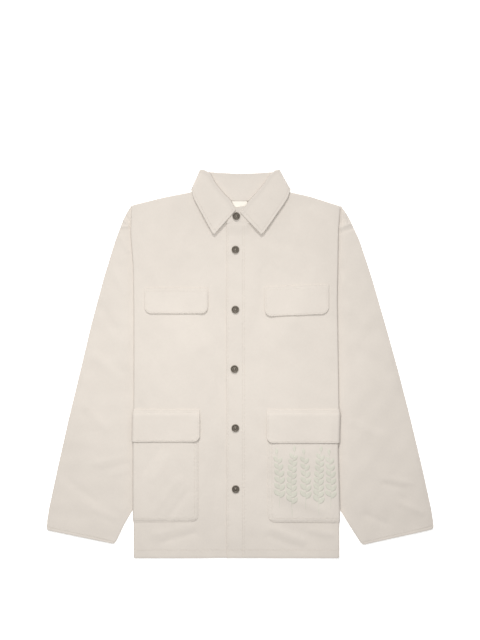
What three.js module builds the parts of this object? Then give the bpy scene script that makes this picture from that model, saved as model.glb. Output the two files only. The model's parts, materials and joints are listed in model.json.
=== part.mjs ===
// A chore jacket in stone-coloured canvas, buttoned up and laid flat on its back.
// Millimetres. +Z up, +Y towards the collar, +X to the wearer's left.
// Both sides of the body are folded under along a straight crease, and the sleeves
// lie under those folds and come out beside the body, so the layers in a side are,
// from the floor: sleeve (two), front tuck, back tuck, back, front, pocket, flap.

import * as THREE from "three";

// Cloth thicknesses and the stack.
const WALL = 1.2;
const COLLAR_WALL = 1.6;
const FLAP_WALL = 1.4;
const LABEL_WALL = 1.0;
const SEAM_GAP = 0.3;
const LAYER_GAP = 0.4;
const PATCH_GAP = 0.65;
const PITCH = WALL + LAYER_GAP;

// Body: the hem, the foot of the armhole, the shoulder point and the folded-under sides.
const HEM_Y = -400;
const PIT_Y = 71;
const SHOULDER_Y = 328;
const TUCK = 85;
const TUCK_LEAST = 4;
const SLEEVE_EMERGES_Y = -299;
const SLEEVE_EDGE_POWER = 2.2;
const CREASE_TOP_Y = SHOULDER_Y - 1;
const TUCK_TOP_Y = SHOULDER_Y - 2;
const PLACKET_EDGE_X = -27.5;
const UNDERLAP_EDGE_X = 5;
const NECK_SEAM_Y = 291;

// Folds of the side crease: the front turns round outside the back.
const FRONT_TURN = 1.5 * PITCH;
const BACK_TURN = 0.5 * PITCH;
const CREASE_INSET = FRONT_TURN + WALL / 2;

// Sleeve tube: distance between its two layers, and how far it swells in the open. The
// swell starts a little way out from the body's crease and fades at the sleeve's own fold.
const SLEEVE_LAYERS = 1.5;
const SLEEVE_STACK = 2 * WALL + SEAM_GAP + LAYER_GAP;
const SLEEVE_SWELL = 1.7;
const SWELL_START = 4;
const SWELL_RISE = 26;
const SWELL_FOLD_RISE = 24;

// How much further under the body the armhole seam dives than a plain quarter ellipse.
const ARMHOLE_DIVE = 12;
const ARMHOLE_BEND_POWER = 4;

// How soon the upper layers settle to the floor beyond what lies under them.
const SUPPORT_MARGIN = 22;
const SUPPORT_FALL = 86;
const LAP_FALL = 36;
const LAP_MARGIN = 7;

// Collar leaf under the back of the neck: what it lifts, and where.
const COLLAR_LIFT = COLLAR_WALL + LAYER_GAP;
const COLLAR_HALF_WIDTH = 112;
const COLLAR_FALL = 48;
const COLLAR_FOOT_SIDE_Y = 345;
const COLLAR_FOOT_MID_Y = 311;

// Buttons.
const BUTTON_RADIUS = 7.9;
const BUTTON_HEIGHT = 3.6;
const BUTTON_SIDES = 14;

// The side crease of the body, the silhouette from the hem up to the shoulder.
const SIDE_CREASE = {
  right: [
    { y: 330, x: -224.6 },
    { y: 272, x: -226.5 },
    { y: 202, x: -221.1 },
    { y: 98, x: -219.8 },
    { y: HEM_Y, x: -220.5 },
  ],
  left: [
    { y: 330, x: 207.5 },
    { y: 278, x: 203.7 },
    { y: 134, x: 201.2 },
    { y: -92, x: 204.7 },
    { y: -175, x: 201.4 },
    { y: -295, x: 204.9 },
    { y: HEM_Y, x: 205.6 },
  ],
};

// The outer, folded edge of each sleeve, from the shoulder down to the cuff.
const SLEEVE_OUTER = {
  right: [
    { y: 330, x: -224.5 },
    { y: 324, x: -230.2 },
    { y: 307, x: -239.9 },
    { y: 258, x: -258.5 },
    { y: 183, x: -281.5 },
    { y: 84, x: -308 },
    { y: -15, x: -331.4 },
    { y: -115, x: -355.6 },
    { y: -214, x: -377.8 },
    { y: -297, x: -395.6 },
    { y: -342, x: -402.5 },
  ],
  left: [
    { y: 330, x: 208 },
    { y: 324, x: 213.6 },
    { y: 307, x: 224.8 },
    { y: 258, x: 247.4 },
    { y: 183, x: 272 },
    { y: 84, x: 300.6 },
    { y: -15, x: 328.1 },
    { y: -115, x: 353.6 },
    { y: -214, x: 377.2 },
    { y: -297, x: 395.4 },
    { y: -340, x: 402.5 },
  ],
};

// The inside edge of each sleeve, from the foot of the armhole, under the body, to the cuff.
const SLEEVE_INNER = {
  right: [
    { y: PIT_Y, x: -135 },
    { y: 0, x: -138 },
    { y: -75, x: -146.5 },
    { y: -150, x: -163 },
    { y: -225, x: -187.5 },
    { y: SLEEVE_EMERGES_Y, x: -221 },
    { y: -330, x: -239.3 },
    { y: -371.5, x: -259 },
  ],
  left: [
    { y: PIT_Y, x: 117 },
    { y: 0, x: 120.5 },
    { y: -75, x: 130.5 },
    { y: -150, x: 146 },
    { y: -225, x: 171 },
    { y: SLEEVE_EMERGES_Y, x: 205.5 },
    { y: -330, x: 224.6 },
    { y: -373.5, x: 252.3 },
  ],
};

// The top edges of the panels, from side to side: shoulders and necklines.
const BACK_TOP = [
  { x: -225, y: 328 },
  { x: -157, y: 345 },
  { x: -88, y: 359 },
  { x: -70, y: 351 },
  { x: -45, y: 345 },
  { x: 0, y: 342 },
  { x: 45, y: 345 },
  { x: 72, y: 351 },
  { x: 92, y: 358.5 },
  { x: 141, y: 347.5 },
  { x: 209, y: 326 },
];
const FRONT_TOP = {
  right: [
    { x: -225, y: 328 },
    { x: -157, y: 345 },
    { x: -88, y: 359 },
    { x: -79, y: 338 },
    { x: -66, y: 318.5 },
    { x: -49, y: 303 },
    { x: -28, y: NECK_SEAM_Y },
    { x: 6, y: NECK_SEAM_Y },
  ],
  left: [
    { x: -28, y: NECK_SEAM_Y },
    { x: 30, y: 291.5 },
    { x: 52, y: 303 },
    { x: 70, y: 318 },
    { x: 83, y: 338 },
    { x: 92, y: 358.5 },
    { x: 141, y: 347.5 },
    { x: 209, y: 326 },
  ],
};

// Distances in from the side crease at which the panels have a line of points, and
// the heights of their rows below the neck.
const BODY_COLUMNS = [0, 30, 60, 86, 110.5, 120, 129.5, 140, 152, 165, 180, 194];
const LAP_COLUMN = 211;
const BACK_CENTRE_X = [-7];
const TUCK_COLUMNS = [1, 0.8, 0.6, 0.36, 0.14, 0];
const BODY_ROWS = [
  HEM_Y, -340, -286, -232, -178, -124, -66, -6, 44, 74, 94, 117, 145, 178, 214, 250,
];
const NECK_ROWS = [0.25, 0.5, 0.76, 1];
const SETTLE_FROM = 85;
const SETTLE_TO = 160;

// The stand: its lower edge at the neck seam and its upper edge at the roll line,
// from the wearer's right front end round the back to the left end, which laps over.
// Heights are of the middle of its cloth over the floor.
const STAND_LINE = [
  { seamX: 5.5, seamY: 291.8, seamZ: 5.6, topX: 4, topY: 322, topZ: 6.2 },
  { seamX: -27, seamY: 291.8, seamZ: 5.7, topX: -17, topY: 327, topZ: 6.5 },
  { seamX: -50, seamY: 300, seamZ: 5.9, topX: -25, topY: 339, topZ: 6.9 },
  { seamX: -68, seamY: 316, seamZ: 6, topX: -40.5, topY: 354, topZ: 7.1 },
  { seamX: -82, seamY: 338, seamZ: 6, topX: -55, topY: 371, topZ: 7.1 },
  { seamX: -88, seamY: 353, seamZ: 6, topX: -65, topY: 391, topZ: 7 },
  { seamX: -91, seamY: 361.5, seamZ: 5.8, topX: -73.5, topY: 396.5, topZ: 6.6 },
  { seamX: -93.2, seamY: 364, seamZ: 4.6, topX: -77.5, topY: 398, topZ: 4.7 },
  { seamX: -89, seamY: 361, seamZ: 3.6, topX: -73.5, topY: 396.5, topZ: 2.8 },
  { seamX: -45, seamY: 341, seamZ: 4.4, topX: -41, topY: 394, topZ: 2.8 },
  { seamX: 0, seamY: 338.6, seamZ: 4.4, topX: 0, topY: 392, topZ: 2.8 },
  { seamX: 45, seamY: 341, seamZ: 4.4, topX: 41, topY: 393.5, topZ: 2.8 },
  { seamX: 92, seamY: 360.5, seamZ: 3.6, topX: 72.5, topY: 396, topZ: 2.8 },
  { seamX: 96.2, seamY: 363.5, seamZ: 4.6, topX: 76.5, topY: 397.6, topZ: 4.7 },
  { seamX: 94, seamY: 361, seamZ: 5.8, topX: 72.5, topY: 396, topZ: 6.6 },
  { seamX: 91, seamY: 353, seamZ: 6, topX: 64.5, topY: 389, topZ: 7 },
  { seamX: 85, seamY: 338, seamZ: 6, topX: 51, topY: 370, topZ: 7.1 },
  { seamX: 71, seamY: 316, seamZ: 6, topX: 37, topY: 353, topZ: 7.4 },
  { seamX: 53, seamY: 300, seamZ: 6.3, topX: 19.5, topY: 337, topZ: 8.1 },
  { seamX: 38, seamY: 295, seamZ: 7, topX: 13, topY: 327.6, topZ: 8.4 },
  { seamX: 24, seamY: 292, seamZ: 7.6, topX: 2, topY: 325, topZ: 8.5 },
  { seamX: -26.5, seamY: 291.8, seamZ: 7.9, topX: -23, topY: 321, topZ: 8.5 },
];

// The leaf: its roll line and its free edge with the two points, in the same order.
const LEAF_LINE = [
  { rollX: -9.5, rollY: 319.6, rollZ: 10.7, edgeX: -54.6, edgeY: 268.9, edgeZ: 4.4 },
  { rollX: -21.5, rollY: 340.1, rollZ: 10.4, edgeX: -66, edgeY: 289.5, edgeZ: 6.2 },
  { rollX: -37.5, rollY: 355.8, rollZ: 10, edgeX: -77.7, edgeY: 311, edgeZ: 7 },
  { rollX: -52, rollY: 374, rollZ: 9.8, edgeX: -89, edgeY: 332, edgeZ: 7.1 },
  { rollX: -62.5, rollY: 394, rollZ: 9.5, edgeX: -96.6, edgeY: 347, edgeZ: 7.1 },
  { rollX: -74, rollY: 401, rollZ: 9, edgeX: -98.9, edgeY: 357.5, edgeZ: 6.9 },
  { rollX: -80.8, rollY: 402, rollZ: 7.4, edgeX: -100.9, edgeY: 361.2, edgeZ: 5.3 },
  { rollX: -83.2, rollY: 402, rollZ: 4.8, edgeX: -101.2, edgeY: 362, edgeZ: 3.4 },
  { rollX: -81, rollY: 401.4, rollZ: 2.1, edgeX: -100.9, edgeY: 360.8, edgeZ: 1.5 },
  { rollX: -74, rollY: 400.4, rollZ: 0.8, edgeX: -98.5, edgeY: 356, edgeZ: 0.8 },
  { rollX: -41.6, rollY: 396.4, rollZ: 0.8, edgeX: -52, edgeY: 333, edgeZ: 0.8 },
  { rollX: 0, rollY: 394.4, rollZ: 0.8, edgeX: 1, edgeY: 326, edgeZ: 0.8 },
  { rollX: 41.2, rollY: 396, rollZ: 0.8, edgeX: 54, edgeY: 333, edgeZ: 0.8 },
  { rollX: 72.6, rollY: 400.2, rollZ: 0.8, edgeX: 101.3, edgeY: 356, edgeZ: 0.8 },
  { rollX: 79.6, rollY: 401.4, rollZ: 2.1, edgeX: 103.9, edgeY: 360.6, edgeZ: 1.5 },
  { rollX: 81.8, rollY: 402, rollZ: 4.8, edgeX: 104.2, edgeY: 361.8, edgeZ: 3.4 },
  { rollX: 79.4, rollY: 401.8, rollZ: 7.4, edgeX: 103.9, edgeY: 361, edgeZ: 5.3 },
  { rollX: 72.5, rollY: 400.4, rollZ: 9, edgeX: 101.8, edgeY: 357.2, edgeZ: 6.9 },
  { rollX: 61.5, rollY: 390.5, rollZ: 9.5, edgeX: 98.6, edgeY: 346, edgeZ: 7.1 },
  { rollX: 49, rollY: 371.2, rollZ: 9.8, edgeX: 89, edgeY: 331, edgeZ: 7.1 },
  { rollX: 34, rollY: 353, rollZ: 10, edgeX: 74, edgeY: 310, edgeZ: 7 },
  { rollX: 18.4, rollY: 337.2, rollZ: 10.4, edgeX: 59, edgeY: 288, edgeZ: 6.6 },
  { rollX: 12.6, rollY: 327, rollZ: 10.6, edgeX: 52, edgeY: 278.5, edgeZ: 5.6 },
  { rollX: 1.4, rollY: 314, rollZ: 10.6, edgeX: 45.1, edgeY: 268.9, edgeZ: 4.6 },
];
const LEAF_CROWN = 1.8;

// Top of the stand's left end, which carries the first button.
const STAND_END_TOP = 9.2;

// Pockets and flaps, by their outlines on the fronts. "slant" is the rise of the outer
// end over the inner one; "inner" is the free end towards the centre.
const CHEST_FLAPS = {
  right: { outer: -197.1, inner: -67.3, top: 158.4, bottom: 105.6, round: 13.5, slant: 0 },
  left: { outer: 182.8, inner: 52, top: 160.5, bottom: 99.6, round: 13.5, slant: 5.5 },
};
const POCKET_FLAPS = {
  right: { inner: -84.2, top: -93.1, bottom: -159.2, round: 12.5 },
  left: { inner: 56.3, top: -93.1, bottom: -161.6, round: 12 },
};
const POCKETS = {
  right: { inner: -85.9, top: -106, bottom: -325.5, round: 16.5 },
  left: { inner: 57.8, top: -106, bottom: -326.6, round: 16.5 },
};

// A pocket's flap comes down from the pocket to the front just above the pocket's mouth.
const MOUTH_CLEARANCE = 1;
const MOUTH_FALL = 9;

// Least distance between a patch's own points and the panel's, and the angles over the
// floor at which the pockets and their flaps have lines of points round the crease.
const COLUMN_LEAST = 3;
const CORNER_SPACING = 0.6;
const CORNER_ANGLES = [0, Math.PI / 6, Math.PI / 3, Math.PI / 2];
const POCKET_TURN = [0.1, Math.PI / 4];
const FLAP_TURN = { right: [0.6, 1.1], left: [0.35, Math.PI / 4] };

const LABEL = { x: -2.2, width: 33, top: 337.6, height: 24 };

const BUTTONS = [
  { x: -7.9, y: 306.8 },
  { x: -9.7, y: 237.6 },
  { x: -9.9, y: 113.6 },
  { x: -11.6, y: -9.3 },
  { x: -9.9, y: -131.4 },
  { x: -9.2, y: -257.7 },
];

const clamp = THREE.MathUtils.clamp;
const lerp = THREE.MathUtils.lerp;
const smooth = (value) => THREE.MathUtils.smoothstep(value, 0, 1);
const sideSign = (side) => (side === "left" ? 1 : -1);

// Where a value lies in a rising list: the index of the next entry, and the share of
// the way to it from the one before.
function between(list, at) {
  const found = list.findIndex((value) => value >= at);
  const next = found < 0 ? list.length - 1 : Math.max(found, 1);
  const share = clamp((at - list[next - 1]) / (list[next] - list[next - 1]), 0, 1);
  return { next, share };
}

// Reads column "to" of a table at the value "at" of column "from", in straight steps.
function read(table, from, to, at) {
  const rising = table[0][from] < table[table.length - 1][from];
  const rows = rising ? table : [...table].reverse();
  const { next, share } = between(
    rows.map((row) => row[from]),
    at,
  );
  return lerp(rows[next - 1][to], rows[next][to], share);
}

const creaseX = (side, y) => read(SIDE_CREASE[side], "y", "x", y);

// Width of the side that is folded under: full below the armhole, and above it the
// armhole's own curve, a quarter of an ellipse from the shoulder point to its foot.
function tuckWidth(y) {
  if (y <= PIT_Y) return TUCK;
  const rise = clamp((SHOULDER_Y - y) / (SHOULDER_Y - PIT_Y), 0, 1);
  return TUCK_LEAST + (TUCK - TUCK_LEAST) * (1 - Math.sqrt(1 - rise * rise));
}

// How far the sleeve reaches in under the body, negative once it has come out.
function sleeveReach(y) {
  if (y > PIT_Y) return tuckWidth(y);
  const fall = (PIT_Y - y) / (PIT_Y - SLEEVE_EMERGES_Y);
  return TUCK * (1 - fall ** SLEEVE_EDGE_POWER);
}

// Distance in from the crease of a point of the body.
const depthIn = (side, x, y) => Math.abs(x - creaseX(side, y)) - CREASE_INSET;

const settle = (beyond) => 1 - smooth(beyond / SUPPORT_FALL);

// Lift by the sleeve below, by the tucks, and by the collar leaf under the neck.
const sleeveLift = (depth, y) =>
  SLEEVE_STACK * settle(depth - sleeveReach(y) - SUPPORT_MARGIN);
const tuckLift = (depth, y) => 2 * PITCH * settle(depth - tuckWidth(y) - SUPPORT_MARGIN);

function collarLift(x, y) {
  const across = clamp(Math.abs(x) / COLLAR_HALF_WIDTH, 0, 1);
  const foot = lerp(COLLAR_FOOT_MID_Y, COLLAR_FOOT_SIDE_Y, across * across);
  const below = smooth((foot - y) / COLLAR_FALL);
  const beside = smooth((Math.abs(x) - COLLAR_HALF_WIDTH) / COLLAR_FALL);
  return COLLAR_LIFT * (1 - below) * (1 - beside);
}

// Middle of the back's cloth and of each front's cloth, over the floor.
function backMiddle(side, x, y) {
  const depth = depthIn(side, x, y);
  return sleeveLift(depth, y) + tuckLift(depth, y) + collarLift(x, y) + WALL / 2;
}

function lapLift(side, x) {
  if (side === "right") return 0;
  return PITCH * (1 - smooth((x - UNDERLAP_EDGE_X - LAP_MARGIN) / LAP_FALL));
}

const frontMiddle = (side, x, y) => backMiddle(side, x, y) + PITCH + lapLift(side, x);

const UP = new THREE.Vector3(0, 0, 1);
const flatPoint = (x, y, z) => ({ at: new THREE.Vector3(x, y, z), out: UP });

// Normals of a grid of middle points, from the differences of its neighbours.
function withNormals(rows) {
  const near = (list, i) => list[clamp(i, 0, list.length - 1)];
  return rows.map((row, j) =>
    row.map((at, i) => {
      const along = near(row, i + 1).clone().sub(near(row, i - 1));
      const up = near(rows, j + 1)[i].clone().sub(near(rows, j - 1)[i]);
      return { at, out: along.cross(up).normalize() };
    }),
  );
}

// A cloth wall: the grid of middle points moved out and in by half its thickness, with
// its rims closed. A ring's columns join end to end, so only its two ends have rims.
function clothGeometry(grid, wall, ring = false) {
  const across = grid[0].length;
  const down = grid.length;
  const positions = [];
  const sheet = (shift) =>
    grid.forEach((row) =>
      row.forEach((p) =>
        positions.push(...p.at.clone().addScaledVector(p.out, shift).toArray()),
      ),
    );
  sheet(wall / 2);
  sheet(-wall / 2);
  const faces = [];
  const outer = (j, i) => j * across + (i % across);
  const inner = (j, i) => outer(j, i) + across * down;
  const quad = (a, b, c, d) => faces.push(a, b, c, a, c, d);
  const columns = ring ? across : across - 1;
  for (let j = 0; j < down - 1; j += 1) {
    for (let i = 0; i < columns; i += 1) {
      quad(outer(j, i), outer(j, i + 1), outer(j + 1, i + 1), outer(j + 1, i));
      quad(inner(j, i), inner(j + 1, i), inner(j + 1, i + 1), inner(j, i + 1));
    }
  }
  for (let i = 0; i < columns; i += 1) {
    const last = down - 1;
    quad(inner(0, i), inner(0, i + 1), outer(0, i + 1), outer(0, i));
    quad(outer(last, i), outer(last, i + 1), inner(last, i + 1), inner(last, i));
  }
  if (!ring) {
    for (let j = 0; j < down - 1; j += 1) {
      const last = across - 1;
      quad(outer(j, 0), outer(j + 1, 0), inner(j + 1, 0), inner(j, 0));
      quad(inner(j, last), inner(j + 1, last), outer(j + 1, last), outer(j, last));
    }
  }
  const geometry = new THREE.BufferGeometry();
  geometry.setAttribute("position", new THREE.Float32BufferAttribute(positions, 3));
  geometry.setIndex(faces);
  geometry.computeVertexNormals();
  return geometry;
}

const canvasCloth = { color: 0xded3c6, roughness: 0.92, metalness: 0 };
const labelCloth = { color: 0xf3ede2, roughness: 0.85, metalness: 0 };
const buttonMetal = { color: 0x5d5449, roughness: 0.42, metalness: 0.9 };

function addPiece(name, geometry, finish) {
  const mesh = new THREE.Mesh(
    geometry,
    new THREE.MeshStandardMaterial({ ...finish, side: THREE.DoubleSide }),
  );
  mesh.name = name;
  jacket.add(mesh);
}

// Heights of the points of one column: the common rows, then steps up to its top edge.
function columnHeights(top) {
  const last = BODY_ROWS[BODY_ROWS.length - 1];
  return [...BODY_ROWS, ...NECK_ROWS.map((part) => lerp(last, top, part))];
}

// The x of a column at a distance in from the crease: beside the crease it follows the
// crease's waviness, and near the centre it stays straight.
function columnX(side, depth, y) {
  const straight = creaseX(side, HEM_Y) - sideSign(side) * (CREASE_INSET + depth);
  const waver = creaseX(side, y) - creaseX(side, HEM_Y);
  const share = 1 - smooth((depth - SETTLE_FROM) / (SETTLE_TO - SETTLE_FROM));
  return straight + waver * share;
}

// One column of a panel's tuck, round its crease, or on its top.
function tuckColumn(side, share, level) {
  return columnHeights(TUCK_TOP_Y).map((y) => {
    const depth = tuckWidth(y) * share;
    const x = creaseX(side, y) - sideSign(side) * (CREASE_INSET + depth);
    const z = sleeveLift(depth, y) + collarLift(x, y) + WALL / 2 + level * PITCH;
    return { at: new THREE.Vector3(x, y, z), out: UP.clone().negate() };
  });
}

function creaseColumn(side, radius, angle) {
  return columnHeights(CREASE_TOP_Y).map((y) => {
    const centreX = creaseX(side, y) - sideSign(side) * CREASE_INSET;
    const centreZ = sleeveLift(0, y) + collarLift(centreX, y) + WALL / 2 + FRONT_TURN;
    const out = new THREE.Vector3(sideSign(side) * Math.cos(angle), 0, Math.sin(angle));
    const at = new THREE.Vector3(centreX, y, centreZ).addScaledVector(out, radius);
    return { at, out };
  });
}

function topColumn(side, depth, topEdge, middle) {
  const top = read(topEdge, "x", "y", columnX(side, depth, SHOULDER_Y));
  return columnHeights(top).map((y) => {
    const x = columnX(side, depth, y);
    return flatPoint(x, y, middle(side, x, y));
  });
}

// The lines of points across a front, the last one on its edge at the centre.
function frontColumns(side) {
  const edgeX = side === "left" ? PLACKET_EDGE_X : UNDERLAP_EDGE_X;
  const edge = Math.abs(edgeX - creaseX(side, HEM_Y)) - CREASE_INSET;
  return side === "left" ? [...BODY_COLUMNS, LAP_COLUMN, edge] : [...BODY_COLUMNS, edge];
}

// Turns a list of columns, right to left as worn, into rows from the hem up.
const rowsOf = (columns) => columns[0].map((_, j) => columns.map((column) => column[j]));

const TURN_ANGLES = [-Math.PI / 4, 0, Math.PI / 4];

// The tuck, the crease and the top of one side of a panel, from the tuck's edge inwards.
function sideColumns(side, { level, radius, topEdge, middle, depths }) {
  return [
    ...TUCK_COLUMNS.map((share) => tuckColumn(side, share, level)),
    ...TURN_ANGLES.map((angle) => creaseColumn(side, radius, angle)),
    ...depths.map((depth) => topColumn(side, depth, topEdge, middle)),
  ];
}

function frontGeometry(side) {
  const columns = sideColumns(side, {
    level: 0,
    radius: FRONT_TURN,
    topEdge: FRONT_TOP[side],
    middle: frontMiddle,
    depths: frontColumns(side),
  });
  if (side === "left") columns.reverse();
  return clothGeometry(rowsOf(columns), WALL);
}

function backGeometry() {
  const half = (side) =>
    sideColumns(side, {
      level: 1,
      radius: BACK_TURN,
      topEdge: BACK_TOP,
      middle: backMiddle,
      depths: BODY_COLUMNS,
    });
  const centre = BACK_CENTRE_X.map((x) =>
    columnHeights(read(BACK_TOP, "x", "y", x)).map((y) =>
      flatPoint(x, y, collarLift(x, y) + WALL / 2),
    ),
  );
  const columns = [...half("right"), ...centre, ...half("left").reverse()];
  return clothGeometry(rowsOf(columns), WALL);
}

const SLEEVE_ROWS = [0, 0.05, 0.12, 0.2, 0.28, 0.36, 0.44, 0.52, 0.6, 0.68, 0.76, 0.84, 0.92, 1];
const SLEEVE_COLUMNS = [0, 0.08, 0.2, 0.34, 0.48, 0.62, 0.76, 0.89, 1];
const TURN_REACH = 0.1;

// A point in plan between the outer edge (share 0) and the inside edge (share 1) of a
// sleeve, "climb" of the way from its cuff to its armhole, whose curve it takes on there.
function sleevePlan(side, share, climb) {
  const outerTable = SLEEVE_OUTER[side];
  const innerTable = SLEEVE_INNER[side];
  const outerY = lerp(outerTable[outerTable.length - 1].y, outerTable[0].y, climb);
  const innerY = lerp(innerTable[innerTable.length - 1].y, innerTable[0].y, climb);
  const outer = new THREE.Vector2(read(outerTable, "y", "x", outerY), outerY);
  const inner = new THREE.Vector2(read(innerTable, "y", "x", innerY), innerY);
  const shoulder = new THREE.Vector2(outerTable[0].x, outerTable[0].y);
  const pit = new THREE.Vector2(innerTable[0].x, innerTable[0].y);
  const angle = (share * Math.PI) / 2;
  const armholeY = shoulder.y - (shoulder.y - pit.y) * Math.sin(angle);
  const dive = sideSign(side) * ARMHOLE_DIVE * Math.sqrt(Math.sin(angle)) * Math.cos(angle);
  const armholeX = lerp(shoulder.x, pit.x, 1 - Math.cos(angle)) - dive;
  const bend = new THREE.Vector2(armholeX, armholeY).sub(shoulder.clone().lerp(pit, share));
  return outer.lerp(inner, share).addScaledVector(bend, climb ** ARMHOLE_BEND_POWER);
}

// The swell of a sleeve's upper layer, in the open only.
function sleeveSwell(side, plan, outerX) {
  const beyond = (plan.x - creaseX(side, plan.y)) * sideSign(side);
  const fromFold = Math.abs(outerX - plan.x);
  const inTheOpen = smooth((beyond - SWELL_START) / SWELL_RISE);
  return SLEEVE_SWELL * inTheOpen * smooth((fromFold + SWELL_START) / SWELL_FOLD_RISE);
}

// Ring of a flattened tube: upper layer from the outer fold to the inside seam, the
// turn, lower layer back, and the turn of the fold.
function sleeveRing(side, climb) {
  const turn = SLEEVE_LAYERS / 2;
  const inset = turn + WALL / 2;
  const start = sleevePlan(side, 0, climb);
  const length = start.distanceTo(sleevePlan(side, 1, climb));
  const spot = (share) => sleevePlan(side, lerp(inset / length, 1 - inset / length, share), climb);
  const upper = SLEEVE_COLUMNS.map((share) => {
    const plan = spot(share);
    const z = WALL / 2 + SLEEVE_LAYERS + sleeveSwell(side, plan, start.x);
    return flatPoint(plan.x, plan.y, z);
  });
  const lower = [...SLEEVE_COLUMNS].reverse().map((share) => {
    const plan = spot(share);
    const at = new THREE.Vector3(plan.x, plan.y, WALL / 2);
    return { at, out: UP.clone().negate() };
  });
  const turnPoint = (share, towards) => {
    const plan = spot(share);
    const from = spot(towards);
    const upperZ = WALL / 2 + SLEEVE_LAYERS + sleeveSwell(side, plan, start.x);
    const out = new THREE.Vector3(plan.x - from.x, plan.y - from.y, 0).normalize();
    const at = new THREE.Vector3(plan.x, plan.y, (upperZ + WALL / 2) / 2);
    return { at: at.addScaledVector(out, turn), out };
  };
  const insideTurn = turnPoint(1, 1 - TURN_REACH);
  const foldTurn = turnPoint(0, TURN_REACH);
  const ring = [...upper, insideTurn, ...lower, foldTurn];
  return side === "left" ? ring.reverse() : ring;
}

function sleeveGeometry(side) {
  return clothGeometry(SLEEVE_ROWS.map((climb) => sleeveRing(side, climb)), WALL, true);
}

// One rail of a collar table: the points in three of its columns.
const rail = (table, key) =>
  table.map((row) => new THREE.Vector3(row[key + "X"], row[key + "Y"], row[key + "Z"]));

// A band ruled between two rails, with a crown across it where "crown" is not zero.
function bandGeometry(table, upperKey, lowerKey, shares, crown) {
  const upper = rail(table, upperKey);
  const lower = rail(table, lowerKey);
  const rows = shares.map((share) =>
    upper.map((at, i) => at.clone().lerp(lower[i], share)),
  );
  const grid = withNormals(rows);
  grid.forEach((row, j) =>
    row.forEach((p) => {
      const lift = crown * Math.sin(Math.PI * shares[j]) * Math.max(p.out.z, 0);
      p.at.z += lift;
    }),
  );
  return clothGeometry(grid, COLLAR_WALL);
}

const STAND_SHARES = [0, 0.33, 0.66, 1];
const LEAF_SHARES = [0, 0.25, 0.5, 0.75, 1];

// Heights of a patch's rows, and how far its free ends draw in at each, for a piece
// with two round lower corners. Above them it has the front's own rows and "more".
function roundedRows(piece, more = []) {
  const corner = CORNER_ANGLES.map((angle) => ({
    y: piece.bottom + piece.round * (1 - Math.cos(angle)),
    inset: piece.round * (1 - Math.sin(angle)),
  }));
  const from = piece.bottom + piece.round + COLUMN_LEAST;
  const heights = [...BODY_ROWS, ...more].sort((a, b) => a - b);
  const straight = heights.filter((y) => y > from && y < piece.top - COLUMN_LEAST);
  const rest = straight.map((y) => ({ y, inset: 0, level: true }));
  return [...corner, ...rest, { y: piece.top, inset: 0 }];
}

// Middle of a front's cloth at a point, read between the lines of points it is made of.
function frontCloth(side, depth, y) {
  const columns = frontColumns(side);
  const column = between(columns, depth);
  const row = between(BODY_ROWS, y);
  const at = (i, j) => {
    const x = columnX(side, columns[column.next - i], BODY_ROWS[row.next - j]);
    return frontMiddle(side, x, BODY_ROWS[row.next - j]);
  };
  return lerp(
    lerp(at(1, 1), at(0, 1), column.share),
    lerp(at(1, 0), at(0, 0), column.share),
    row.share,
  );
}

// The front's own columns that a patch covers, with the patch's ends.
function patchDepths(from, to) {
  const within = BODY_COLUMNS.filter((d) => d > from + COLUMN_LEAST && d < to - COLUMN_LEAST);
  return [from, ...within, to];
}

// Draws a column in to stay inside the patch's end where its corner is round.
const drawnIn = (depths, i, from, to) =>
  clamp(
    depths[i],
    from + i * CORNER_SPACING,
    to - (depths.length - 1 - i) * CORNER_SPACING,
  );

// A chest flap lies on its front: points of the panel, moved out.
function chestFlapGeometry(side) {
  const piece = CHEST_FLAPS[side];
  const outer = Math.abs(piece.outer - creaseX(side, (piece.top + piece.bottom) / 2)) - CREASE_INSET;
  const inner = Math.abs(piece.inner - creaseX(side, HEM_Y)) - CREASE_INSET;
  const depths = patchDepths(outer, inner);
  const rows = roundedRows(piece).map(({ y, inset, level }) => {
    const slant = level ? 0 : piece.slant;
    const row = depths.map((_, i) => {
      const depth = drawnIn(depths, i, outer + inset, inner - inset);
      const slanted = y + (slant * (inner - depth)) / (inner - outer);
      const z = frontCloth(side, depth, slanted) + WALL / 2 + PATCH_GAP + FLAP_WALL / 2;
      return flatPoint(columnX(side, depth, slanted), slanted, z);
    });
    return side === "left" ? row.reverse() : row;
  });
  return clothGeometry(rows, FLAP_WALL);
}

// A pocket or its flap: it starts on the side crease, which it turns over a little, and
// runs in to its free end. "under" is what lies between it and the front at a height.
function sidePatchGeometry(side, piece, { wall, under, angles, more }) {
  const sign = sideSign(side);
  const end = Math.abs(piece.inner - creaseX(side, HEM_Y)) - CREASE_INSET;
  const depths = patchDepths(0, end);
  const rows = roundedRows(piece, more).map(({ y, inset }) => {
    const radius = FRONT_TURN + WALL / 2 + under(y) + wall / 2;
    const centreX = creaseX(side, y) - sign * CREASE_INSET;
    const centreZ = frontCloth(side, 0, y) - FRONT_TURN;
    const turned = angles.map((angle) => {
      const out = new THREE.Vector3(sign * Math.cos(angle), 0, Math.sin(angle));
      const at = new THREE.Vector3(centreX, y, centreZ).addScaledVector(out, radius);
      return { at, out };
    });
    const flat = depths.map((_, i) => {
      const depth = drawnIn(depths, i, 0, end - inset);
      const z = frontCloth(side, depth, y) + WALL / 2 + under(y) + wall / 2;
      return flatPoint(columnX(side, depth, y), y, z);
    });
    const row = [...turned, ...flat];
    return side === "left" ? row.reverse() : row;
  });
  return clothGeometry(rows, wall);
}

function pocketGeometry(side) {
  return sidePatchGeometry(side, POCKETS[side], {
    wall: WALL,
    under: () => PATCH_GAP,
    angles: POCKET_TURN,
    more: [],
  });
}

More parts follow.
